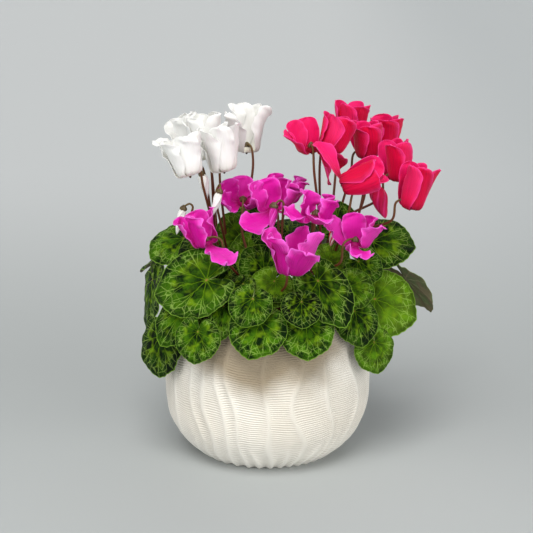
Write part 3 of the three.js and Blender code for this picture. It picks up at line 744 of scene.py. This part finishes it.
def leaf_shell(leaf, seed, spokes, rings):
    """The blade: forward and aside are the outline shrunk to a share, and the depth is the droop, the cup,
    the waves of the margin, the puffed fields between the veins and the sunk veins themselves."""
    at, along, face, across, length = leaf_frame(leaf)
    round_turn = full_turn(spokes)
    angle = math.pi - round_turn + 0.25 * np.sin(round_turn)
    share = (np.linspace(0, 1, rings + 1)[1:] ** 0.9)[:, None]
    reach = share * leaf_edge(angle) * length
    u, v = reach * np.cos(angle) / length, reach * np.sin(angle) / length
    forward, aside = u * length, v * length * leaf.get("width", 1)
    from_vein = np.abs((angle / VEIN_SPREAD + 0.5) % 1 - 0.5) * VEIN_SPREAD
    sunk = np.exp(-((from_vein * share / 0.04) ** 2)) * ease(share, 0.02, 0.2) * (1.1 - share)
    puff = np.sin(math.pi * from_vein / VEIN_SPREAD) * share * (1.2 - share)
    wave = 0.035 * share**2 * np.sin(4 * angle + at[0]) + 0.014 * share**3 * np.sin(11 * angle + seed)
    crumple = 0.009 * share * ripple(u * 22, v * 22, int(seed) + 40)
    droop, cup = LEAF_DROOP / length, LEAF_CUP / length
    sag = 0.5 * droop * forward**2 * np.where(forward > 0, 1, -0.2)
    depth = length * (wave + crumple + 0.03 * puff - 0.013 * sunk) - sag - 0.5 * cup * aside**2
    forward = forward * (1 - 0.1 * (droop * forward) ** 2)
    aside = aside * (1 - 0.16 * (cup * aside) ** 2)
    points = placed(at, (forward, along), (aside, across), (depth, face))
    marks = np.vstack([grid_marks(u, v, share, seed), [[0, 0, 0, 0, seed]]])
    thickness = LEAF_THICKNESS * (1 - 0.6 * ease(share, 0.9, 1))
    return blade(points, thickness, marks, at)


# %% [markdown]
# The leaf's pattern follows its own growth. Pale veins fan out from the stalk and fork on their way out,
# into a pale net that stops short of the margin. A dark middle lies round the stalk, partly the leaf's own
# dark centre and partly painted shade where the leaves above overlap it. Yellow-green blotches lie round
# that, and a thin pale rim runs round the outside. Each leaf has its own share between a deep and a fresh
# green. The underside is a dull olive with a breath of pink. All of it is arithmetic on the leaf's own flat
# place.

# %% The leaf's finish
def leaf_finish():
    leaf = Finish("veined_leaf", {"Specular IOR Level": 0.07})
    place, seed, under = leaf.mark("place"), leaf.mark("seed"), leaf.mark("under")
    flat_u, flat_v, share = leaf.split(place)
    shifted = leaf.joined(flat_u, flat_v, seed * 3.7)
    wobble = leaf.noise(shifted, 5.0, 2.0) - 0.5
    u, v = flat_u, flat_v + wobble * 0.13
    radius = (u * u + v * v) ** 0.5
    angle = leaf.math("ARCTAN2", v, u)
    between = abs(leaf.math("WRAP", angle, VEIN_SPREAD / 2, -VEIN_SPREAD / 2))

    def line(distance, width):
        """1 on a vein's middle, falling smoothly to 0 at its width."""
        return 1 - leaf.ease(abs(distance), 0.0, width)

    main = line(between * radius, 0.021 - radius * 0.01)
    fork = line((between - (radius - 0.26) * 0.5) * radius, 0.01) * leaf.ease(radius, 0.26, 0.32)
    margin = leaf.ease(share, 0.46, 0.8) * (1 - leaf.ease(share, 0.86, 0.94) * 0.85)
    patch = leaf.noise(shifted, 4.2, 1.0)
    fleck = leaf.noise(shifted, 26.0, 3.0)
    curl = (leaf.noise(shifted, 9.0, 1.0) - 0.5) * 0.06
    from_wall = leaf.cells(leaf.joined(u + curl, v - curl, seed * 1.3), 6.8)
    net = line(from_wall, 0.068) * margin * leaf.ease(patch, 0.3, 0.5)
    veins = leaf.math("MAXIMUM", main, fork * 0.85) * (1 - leaf.ease(share, 0.6, 0.95) * 0.4)
    veins = leaf.math("MAXIMUM", veins, net * 0.72)

    own = leaf.math("FRACT", seed * 0.53)
    deep = leaf.mix(tone(2, 12, 0), tone(8, 36, 2), own)
    fresh = leaf.mix(tone(12, 44, 0), tone(78, 128, 8), own)
    green = leaf.mix(deep, fresh, leaf.ease(patch + (fleck - 0.5) * 0.5, 0.32, 0.68))
    band = leaf.ease(share, 0.22, 0.4) * (1 - leaf.ease(share, 0.6, 0.85))
    blotch = leaf.ease(leaf.noise(shifted, 5.5, 1.0), 0.46, 0.74) * band
    green = leaf.mix(green, tone(122, 160, 18), blotch * 0.75)
    green = leaf.mix(green, tone(112, 150, 28), leaf.ease(own, 0.86, 0.94) * 0.38)
    # Darker middle round the stalk: partly the leaf's own dark centre, partly painted shade where the leaves
    # above overlap it.
    middle = 1 - leaf.ease(radius, 0.08, 0.45)
    outside = leaf.ease(share, 0.86, 0.95)
    green = leaf.mix(green, deep, middle * 0.55 + outside * 0.4)
    pale = leaf.mix(tone(110, 150, 18), tone(170, 204, 98), leaf.ease(share, 0.4, 0.8))
    top = leaf.mix(green, pale, veins * 0.72)
    top = leaf.mix(top, tone(124, 164, 54), leaf.ease(share, 0.972, 0.99) * 0.75)
    top = leaf.mix(top, tone(150, 120, 60), 1 - leaf.ease(radius, 0.01, 0.035))
    below = leaf.mix(tone(108, 122, 84), tone(124, 116, 90), leaf.ease(patch, 0.35, 0.65))
    below = leaf.mix(below, tone(162, 160, 122), main * 0.6)
    leaf.feed("Base Color", leaf.mix(top, below, under))
    leaf.feed("Roughness", 0.34 + fleck * 0.2 + under * 0.25)
    cells = leaf.cells(leaf.joined(u, v, seed * 2.1), 30.0)
    leaf.bump(leaf.ease(cells, 0.0, 0.25) * 0.6 + fleck * 0.3 - veins * 0.5, 0.7, 0.0009)
    return leaf.material


# %% Make the large leaves
LEAF_SPOKES, LEAF_RINGS = 144, 22

leaf_skin = leaf_finish()
for number, leaf in enumerate(LEAVES, start=1):
    shell = leaf_shell(leaf, number, LEAF_SPOKES, LEAF_RINGS)
    add_piece(f"leaf_blade_{number:02d}", shell, leaf_skin, f"leaf_{number:02d}")
print("pieces and triangles so far:", made)

# %% [markdown]
# ## Petals
#
# A cyclamen hangs its blooms upside down and turns all five petals straight back up. Each petal leaves the
# short throat outwards and a little down, bends sharply upwards and then twists on to its tip. Its middle
# line is found by adding up small steps along a heading that turns, and its cross section is an arc whose
# edges ruffle.

# %% The frame of a bloom and the middle line of a petal
PETAL_START, PETAL_DIP, PETAL_TURN, PETAL_CURL = 3, 0.45, (1, 11), math.radians(12)
LINE_STEPS = 400


def bloom_frame(bloom):
    """A bloom's place, its sweep, the side that its stalk comes in from, and the way across both."""
    sweep = unit(bloom["sweep"])
    side = square_to(bloom["side"], sweep)
    return np.array(bloom["at"], float), sweep, side, np.cross(sweep, side)


def petal_line(t, length, flare):
    """Distance from the axis, height and heading at the share t: running sums of cosine and sine of a
    heading that turns from the dip to the flare and curls on with the square of the share."""
    s = np.linspace(0, length, LINE_STEPS)
    upright = math.radians(90 - flare)
    heading = blend(-PETAL_DIP, upright, ease(s, *PETAL_TURN)) - PETAL_CURL * (s / length) ** 2
    step = length / (LINE_STEPS - 1)
    radius = PETAL_START + np.concatenate([[0], np.cumsum(np.cos(heading[:-1]) * step)])
    height = 0.2 + np.concatenate([[0], np.cumsum(np.sin(heading[:-1]) * step)])
    where = t * length
    return np.interp(where, s, radius), np.interp(where, s, height), np.interp(where, s, heading)


# %% The blade of a petal
PETAL_ROOT, PETAL_WIDTH, PETAL_BLUNT = 2.2, 13, 0.86
PETAL_THICKNESS, PETAL_WIDEST = 0.6, 0.688
PETAL_RINGS, PETAL_COLUMNS = 34, 21


def petal_shell(bloom, angle, flare, frill, seed):
    """The blade: an arc across the middle line, twisted more towards the tip. Its rim waves by `frill`
    millimetres, all of it crumples by about half as much, and a fold runs up the middle from the root.
    Half the width is root + (width - root) sin(0.86 pi t^1.45)^0.85 as far as the widest place, and from
    there width sqrt(1 - s^2.5), a round tip, where s runs from 0 to 1."""
    at, sweep, side, cross = bloom_frame(bloom)
    rng = np.random.default_rng(seed)
    start = rng.uniform(0, 2 * math.pi)
    pace = rng.uniform(1.2, 1.8) + 0.35 * frill
    lean = rng.uniform(-0.12, 0.12)
    t = np.sin(np.linspace(0, math.pi / 2, PETAL_RINGS))[:, None]
    v = np.linspace(-1, 1, PETAL_COLUMNS)[None, :]
    radius, height, heading = petal_line(t, bloom["length"], flare)
    widest = bloom.get("width", PETAL_WIDTH)
    growing = PETAL_ROOT + (widest - PETAL_ROOT) * np.sin(math.pi * PETAL_BLUNT * t**1.45) ** 0.85
    rounded = widest * np.sqrt(1 - (np.clip((t - PETAL_WIDEST) / (1 - PETAL_WIDEST), 0, 0.998)) ** 2.5)
    half = np.where(t < PETAL_WIDEST, growing, rounded)
    bow = 12 + 0.12 * abs(flare)
    bend = v * half / bow
    rim = np.maximum(np.abs(v) ** 2.5 * ease(t, 0.25, 0.7), 0.8 * ease(t, 0.8, 1))
    wave = np.sin(2 * math.pi * pace * t + start + 2.1 * ease(v, -0.6, 0.6) + 1.8 * v)
    wave = wave + (0.15 + 0.15 * frill) * np.sin(10 * math.pi * t + 2 * start + 3 * v)
    crumple = ripple(5 * t, 2.2 * v, seed) * ease(t, 0.1, 0.5)
    fold = 0.5 * np.exp(-((v / 0.12) ** 2)) * (1 - t)
    ruffle = frill * (rim * wave + (0.33 + 0.11 * frill) * crumple)
    flat, dip = bow * np.sin(bend), bow * (1 - np.cos(bend)) - ruffle + fold
    twist = np.radians(8 + 14 * t) + lean * t
    wide = flat * np.cos(twist) + dip * np.sin(twist)
    out = flat * np.sin(twist) - dip * np.cos(twist)
    turn = math.radians(angle)
    outward = side * math.cos(turn) + cross * math.sin(turn)
    across = np.cross(sweep, outward)
    radius, height = radius + out * np.sin(heading), height - out * np.cos(heading)
    points = placed(at, (radius, outward), (height, sweep), (wide, across))
    thinner = (1 - 0.55 * ease(np.abs(v), 0.7, 1)) * (1 - 0.5 * ease(t, 0.9, 1))
    return blade(points, PETAL_THICKNESS * thinner + 0.1, grid_marks(t, v, 1, seed))


# %% Forms turned about an axis
def ring_grid(profile, at, axis, count, lobes=0.0, twist=0.0):
    """A profile of (radius, height) pairs turned about an axis. Its radius swells and shrinks five times
    round by the share `lobes`, and `twist` turns the form along its height."""
    profile = np.array(profile, float)
    radius, height = profile[:, :1], profile[:, 1:]
    axis = unit(axis)
    first = unit(np.cross(axis, [0.31, 0.87, 0.12]))
    second = np.cross(axis, first)
    turn = full_turn(count)
    spiral = turn + twist * height
    swell = radius * (1 + lobes * np.cos(5 * turn))
    return placed(at, (swell * np.cos(spiral), first), (swell * np.sin(spiral), second), (height, axis))


# %% Smooth curves
def smooth_profile(profile, count):
    """A profile's corners joined by a smooth curve, cut into as many steps on one stretch as on the next."""
    profile = np.array(profile, float)
    bends = bent_line(profile, max(2, count // (len(profile) - 1)))
    return np.column_stack([np.maximum(bends[:, 0], 0.05), bends[:, 1]])


def bent_line(points, steps):
    """A smooth curve through points: on each stretch the cubic h00 p0 + h10 m0 + h01 p1 + h11 m1. A slope m
    is the weighted mean of the steps before and after its point, each over the square root of its length."""
    points = np.array(points, float)
    gaps = np.linalg.norm(np.diff(points, axis=0), axis=1) ** 0.5
    ahead = np.diff(points, axis=0) / gaps[:, None]
    inner = (ahead[:-1] * gaps[1:, None] + ahead[1:] * gaps[:-1, None]) / (gaps[:-1] + gaps[1:])[:, None]
    slopes = np.vstack([ahead[:1], inner, ahead[-1:]])
    s = np.linspace(0, 1, steps, endpoint=False)[None, :, None]
    start, end = points[:-1, None], points[1:, None]
    leave, arrive = slopes[:-1, None] * gaps[:, None, None], slopes[1:, None] * gaps[:, None, None]
    curve = (
        (2 * s**3 - 3 * s**2 + 1) * start + (s**3 - 2 * s**2 + s) * leave
        + (3 * s**2 - 2 * s**3) * end + (s**3 - s**2) * arrive
    )
    return np.vstack([curve.reshape(-1, points.shape[1]), points[-1:]])


# %% The throat and the whole bloom
PETAL_ANGLES = (58, 119, 180, 241, 302)
THROAT_TOP, THROAT_SIDES = 3.3, 30
THROAT = [
    (0.1, 1.4), (1.9, 0.6), (2.8, -1.5), (3.9, -1.9), (4.9, -0.9), (4.6, 1.2), (3.4, 2.8), (0.4, THROAT_TOP)
]
STAMENS = [(0.2, -3.6), (0.8, -3.2), (1.2, -1.2), (1.6, 1.0), (0.3, 1.8)]


def bloom_shell(bloom, frill, seed):
    """Five petals, the throat that they grow from, and the cone of stamens in its mouth."""
    at, sweep, _, _ = bloom_frame(bloom)
    petals = [
        petal_shell(bloom, angle, flare, frill, seed * 10 + i)
        for i, (angle, flare) in enumerate(zip(PETAL_ANGLES, bloom["flares"]))
    ]
    centre = []
    for profile, kind in ((THROAT, 0), (STAMENS, -1)):
        grid = ring_grid(smooth_profile(profile, 24), at, sweep, THROAT_SIDES)
        centre.append(lathe(grid, grid_marks(row_share(grid, 0, 0.12), 0, kind, seed)))
    return stacked(petals + centre)


# %% [markdown]
# The three plants' petals share one recipe with their own colours: deepest at the root, full in the
# middle, lighter towards edge and tip and palest at the rim, with fine streaks and veins along their length.
# Each petal is a little lighter or deeper than the next. The third place mark is 1 on a petal, 2 on a
# striped bud, 0 on a throat and -1 on the stamens.

# %% The petals' finish
STRIPE, BROWN = tone(250, 226, 222), tone(70, 44, 24)
PETAL_TONES = {
    "white": ((232, 230, 215), (251, 251, 248), (254, 254, 252), (251, 250, 246)),
    "magenta": ((150, 0, 92), (212, 0, 154), (250, 108, 222), (226, 34, 176)),
    "red": ((136, 0, 36), (224, 0, 66), (252, 62, 146), (242, 24, 118)),
}
PETAL_GLOW = {
    "white": (0.25, (1.0, 0.97, 0.93)),
    "magenta": (0.2, (1.0, 0.3, 0.8)),
    "red": (0.2, (1.0, 0.2, 0.45)),
}


def petal_finish(colour):
    """The four tones are those of the root, the middle, the edge and the inner side."""
    deep, full, light, inner = [tone(*parts) for parts in PETAL_TONES[colour]]
    depth, glow = PETAL_GLOW[colour]
    petal = Finish(f"{colour}_petal", {
        "Specular IOR Level": 0.14, "Sheen Weight": 0.03, "Sheen Roughness": 0.5,
        "Subsurface Weight": depth, "Subsurface Radius": glow, "Subsurface Scale": 0.01 * depth,
    })
    t, v, kind = petal.split(petal.mark("place"))
    seed, under = petal.mark("seed"), petal.mark("under")
    streak = petal.noise(petal.joined(t * 2.5, v * 16, seed * 5.3), 1.0, 3.0)
    cloud = petal.noise(petal.joined(t * 2, v, seed * 3.1), 1.8, 1.0)
    body = petal.mix(deep, full, petal.ease(t + (streak - 0.5) * 0.25, 0.0, 0.42))
    towards_edge = petal.ease(abs(v) ** 2 * 0.75 + t * 0.45 + (cloud - 0.5) * 0.5, 0.45, 1.15)
    body = petal.mix(body, light, towards_edge * 0.7)
    own = petal.math("FRACT", seed * 0.37)
    body = petal.mix(body, light, petal.ease(own, 0.45, 1.0) * petal.ease(t, 0.1, 0.7) * 0.4)
    body = petal.mix(body, deep, petal.ease(own, 0.45, 0.0) * 0.22)
    vein = petal.noise(petal.joined(t * 1.4, v * 30 * (1.15 - t * 0.4), seed * 2.7), 1.0, 2.0)
    body = petal.mix(body, deep, petal.ease(streak, 0.5, 0.8) * 0.3 + petal.ease(vein, 0.5, 0.7) * 0.32)
    body = petal.mix(body, inner, under * 0.55 * petal.ease(t, 0.1, 0.5))
    rim = petal.math("MAXIMUM", petal.ease(abs(v), 0.86, 1.0), petal.ease(t, 0.965, 1.0))
    body = petal.mix(body, light, rim * petal.ease(t, 0.15, 0.4) * 0.75)
    striped = petal.ease(kind, 1.3, 1.7) * petal.ease(v + (streak - 0.5) * 0.6, 0.3, 0.6)
    body = petal.mix(body, STRIPE, striped)
    body = petal.mix(deep, body, petal.ease(kind, 0.3, 0.7))
    petal.feed("Base Color", petal.mix(BROWN, body, petal.ease(kind, -0.7, -0.3)))
    petal.feed("Roughness", 0.42 + streak * 0.2)
    petal.bump(streak * 0.6 + vein * 0.4, 0.5, 0.0008)
    return petal.material


PETAL_SKINS = {colour: petal_finish(colour) for colour in PLANTS}

# %% [markdown]
# ## Buds and blooms
#
# A closed bud hangs down from its calyx, with its five petals wound round each other. That is a lathe
# form whose five lobes turn as they run to the tip. One small red bud is striped with white. The loop makes
# each plant's open blooms as well.

# %% The form of a bud
BUD = [(0.05, 0), (0.55, 0.02), (0.92, 0.16), (1, 0.32), (0.86, 0.52), (0.6, 0.74), (0.3, 0.92), (0.05, 1)]
BUD_SIDES, BUD_LOBES, BUD_TWIST = 40, 0.09, 2.2


def bud_shell(bud, seed):
    """A spindle of the bud's radius and length with five lobes wound a third of a turn along it."""
    at, tip = np.array(bud["at"], float), np.array(bud["tip"], float)
    length = np.linalg.norm(tip - at)
    profile = smooth_profile(BUD, 28) * [bud["radius"], length]
    grid = ring_grid(profile, at, tip - at, BUD_SIDES, BUD_LOBES, BUD_TWIST / length)
    from_lobe = 0.5 - 0.5 * np.cos(5 * full_turn(BUD_SIDES))
    kind = 2 if bud.get("striped") else 1
    return lathe(grid, grid_marks(row_share(grid, 0.1, 0.8), from_lobe, kind, seed))


# %% Make the blooms and the buds
FRILLS = {"white": 1.8, "magenta": 2.4, "red": 1.15}

count = 0
for colour, plant in PLANTS.items():
    skin, slot = PETAL_SKINS[colour], f"petal_{colour}"
    for number, bloom in enumerate(plant["blooms"], start=1):
        count += 1
        shell = bloom_shell(bloom, FRILLS[colour], count)
        add_piece(f"petals_{colour}_{number}", shell, skin, f"bloom_{colour}_{number}")
    for number, bud in enumerate(plant["buds"], start=1):
        count += 1
        shell = bud_shell(bud, count)
        add_piece(f"closed_bud_{colour}_{number}", shell, skin, f"bud_{colour}_{number}", 80)
print("pieces and triangles so far:", made)

# %% [markdown]
# ## Stalks, calyxes and tubers
#
# Every leaf and bloom of a plant stands on its own bare stalk, and all of them rise from the top of a flat
# corky tuber. A stalk is a round profile carried along a smooth curve through a few points. The directions
# across the curve come from one fixed vector that the curve never runs along, so the tube doesn't twist.

# %% A tapering tube along a curve
STALK_SIDES, STALK_STEPS = 12, 9


def stalk_shell(points, radius, beside, seed):
    """Rings of `radius`, tapering from 1.25 to 0.85 of it, along the curve through the points."""
    line = bent_line(points, STALK_STEPS)
    ahead = unit(np.gradient(line, axis=0))
    first = unit(np.cross(ahead, beside))
    second = np.cross(first, ahead)
    share = np.linspace(0, 1, len(line))[:, None]
    turn = full_turn(STALK_SIDES)
    size = radius * (1.25 - 0.4 * share)
    across, over = (size * np.cos(turn))[..., None], (size * np.sin(turn))[..., None]
    ring = across * first[:, None] - over * second[:, None]
    return lathe(line[:, None] + ring, grid_marks(share, turn, 0, seed))


def bent_stalk(root, what, path, share, lift, radius, beside, seed):
    """A stalk from the tuber along a path. Before the path it passes the place given as `via`, or else one
    at a share of the way there, lifted by some millimetres."""
    bend = np.array(what.get("via", blend(root, path[0], share) + UP * lift), float)
    return stalk_shell([root, bend, *path], radius, beside, seed)


# %% The calyxes
CALYX_SIDES, CALYX_LOBES, BLOOM_CALYX_SIZE = 30, 0.16, 0.92
CALYX = [(3.5, -0.5), (3.3, 0.6), (2.6, 1.9), (1.4, 3.2), (0.9, 3.9)]
BUD_CALYX = [(2.9, -1.4), (2.8, 0.2), (2.0, 1.5), (1.1, 2.6), (0.8, 3.1)]


def calyx_shell(profile, at, axis, size, seed):
    """Five green-brown sepals in a small bell, closed on the inside."""
    outside = smooth_profile(profile, 12) * size
    grid = ring_grid(outside, at, axis, CALYX_SIDES, CALYX_LOBES)
    return lathe(grid, grid_marks(row_share(grid), 0, 1, seed))


# %% Where the stalks run
FLOWER_STALK_RADIUS, BUD_STALK_RADIUS, LEAF_STALK_RADIUS = 1.0, 0.9, 1.2
LEAF_LEAD, LEAF_SEAT = (5, 9), (-1.5, 1.3)


def flower_stalk(root, bloom, seed):
    """Up from the tuber, then over in a hook into the bloom from above."""
    at, sweep, side, cross = bloom_frame(bloom)

    def beyond(sideways, up, drop):
        return at + side * sideways + sweep * up - UP * drop

    hook = [beyond(15, -2, 12), beyond(12.5, 2, 0.5), beyond(8, 4.9, 0), beyond(0.5, 5.4, 0)]
    calyx_at = beyond(0, THROAT_TOP + 1.5 * GAP, 0)
    calyx = calyx_shell(CALYX, calyx_at, sweep, BLOOM_CALYX_SIZE, seed)
    return [bent_stalk(root, bloom, hook, 0.5, 8, FLOWER_STALK_RADIUS, cross, seed), calyx]


def bud_stalk(root, bud, seed):
    """Up from the tuber, over beside the bud and down into its calyx."""
    at = np.array(bud["at"], float)
    hang = unit(np.array(bud["tip"], float) - at)
    side = square_to(bud["side"], hang)

    def beside(sideways, down):
        return at + side * sideways + hang * down

    reach = bud["radius"] + 4.5
    path = [beside(reach, 4), beside(reach - 1, -4), beside(reach / 2, -5.5), beside(0, -2)]
    calyx = calyx_shell(BUD_CALYX, beside(0, -GAP), -hang, 1, seed)
    return [bent_stalk(root, bud, path, 0.5, 6, BUD_STALK_RADIUS, np.cross(hang, side), seed), calyx]


def leaf_stalk(root, leaf, clearance, seed):
    """Up from the tuber in an arch, higher for a low leaf, and in under the leaf at its notch."""
    at, along, face, across, _ = leaf_frame(leaf)

    def beneath(back, below):
        return at - along * back - face * (below + LEAF_THICKNESS / 2 + clearance)

    tail = [beneath(*leaf.get("lead", LEAF_LEAD)), beneath(*LEAF_SEAT)]
    lift = float(np.clip(142 - at[2], 6, 34))
    return [bent_stalk(root, leaf, tail, 0.55, lift, LEAF_STALK_RADIUS, across, seed)]


# %% [markdown]
# The stalks are brown-red near the soil and turn olive towards the blooms. The same material colours the
# calyxes and, with cork and cracks, the tubers: the third place mark tells it which of them it is on.

# %% The stalks' finish
bark = Finish("stalk_skin", {"Specular IOR Level": 0.4})
share, around, kind = bark.split(bark.mark("place"))
seed = bark.mark("seed")
mottle = bark.noise(bark.joined(share * 9, around * 0.8, seed * 2.3), 2.2, 2.0)
cork = bark.noise(bark.object_place(), 230.0, 3.0)
stem = bark.mix(tone(100, 42, 22), tone(98, 78, 30), bark.ease(share + (mottle - 0.5) * 0.9, 0.2, 0.9))
sepal = bark.mix(tone(92, 84, 40), tone(78, 46, 40), bark.ease(mottle, 0.4, 0.65))
corky = bark.mix(tone(72, 50, 34), tone(120, 92, 66), bark.ease(cork, 0.4, 0.65))
skin_tone = bark.mix(stem, sepal, bark.ease(kind, 0.3, 0.7))
bark.feed("Base Color", bark.mix(skin_tone, corky, bark.ease(kind, 1.3, 1.7)))
bark.feed("Roughness", 0.45 + bark.ease(kind, 1.3, 1.7) * 0.4)
bark.bump(cork, 0.4, 0.0006)

# %% The tubers
TUBER_RADIUS, TUBER_FOOT, TUBER_RISE, TUBER_SIDES = 14, 101, 5, 60
TUBER = [
    (2, TUBER_FOOT), (TUBER_RADIUS * 0.7, TUBER_FOOT), (TUBER_RADIUS, TUBER_FOOT + 6),
    (TUBER_RADIUS, SOIL_TOP + 1), (TUBER_RADIUS * 0.7, SOIL_TOP + 1 + TUBER_RISE * 0.8),
    (0.6, SOIL_TOP + 1 + TUBER_RISE),
]


def tuber_shell(crown, seed):
    """A flat round tuber whose side and top are lumpy by a few tenths of a millimetre."""
    grid = ring_grid(smooth_profile(TUBER, 50), crown, UP, TUBER_SIDES)
    lump = 0.35 * ripple(grid[..., 0] / 2.2, grid[..., 1] / 2.2 + grid[..., 2] / 3, seed)
    outward = (grid - np.array([crown[0], crown[1], 0])) * [1, 1, 0] / TUBER_RADIUS
    grid = grid + outward * (lump - 0.35)[..., None]
    return lathe(grid, grid_marks(grid[..., 2], 0, 2, seed))


# %% Make each plant's stalks and young leaves
INNER_STALKS, OUTER_STALKS = 0.35, 0.68
YOUNG_SINK, YOUNG_SPOKES, YOUNG_RINGS = 1.8, 96, 16


def nearest_plant(leaf):
    """The colour of the plant whose crown is nearest to the leaf's stalk end, seen from above."""
    return min(PLANTS, key=lambda colour: math.dist(PLANTS[colour]["crown"][:2], leaf["at"][:2]))


for colour, plant in PLANTS.items():
    crown = np.array(plant["crown"], float)
    grown = [leaf for leaf in LEAVES if nearest_plant(leaf) == colour]
    young = [leaf for leaf in YOUNG_LEAVES if nearest_plant(leaf) == colour]
    sprouts = [(bloom["at"], flower_stalk, (bloom,)) for bloom in plant["blooms"]]
    sprouts += [(bud["at"], bud_stalk, (bud,)) for bud in plant["buds"]]
    sprouts += [(leaf["at"], leaf_stalk, (leaf, GAP)) for leaf in grown]
    sprouts += [(leaf["at"], leaf_stalk, (leaf, -YOUNG_SINK)) for leaf in young]
    sprouts.sort(key=lambda sprout: math.atan2(sprout[0][1] - crown[1], sprout[0][0] - crown[0]))
    shells = [tuber_shell(crown, 7)]
    for i, (_, make, what) in enumerate(sprouts):
        turn = -math.pi + 2 * math.pi * (i + 0.5) / len(sprouts)
        reach = TUBER_RADIUS * (INNER_STALKS if i % 2 == 0 else OUTER_STALKS)
        root = crown + [reach * math.cos(turn), reach * math.sin(turn), SOIL_TOP]
        shells += make(root, *what, i)
    add_piece(f"stalks_{colour}", stacked(shells), bark.material, f"crown_{colour}", 60)
    blades = [leaf_shell(leaf, 30 + i, YOUNG_SPOKES, YOUNG_RINGS) for i, leaf in enumerate(young)]
    add_piece(f"young_leaves_{colour}", stacked(blades), leaf_skin, f"crown_{colour}")
print("pieces and triangles in all:", made)
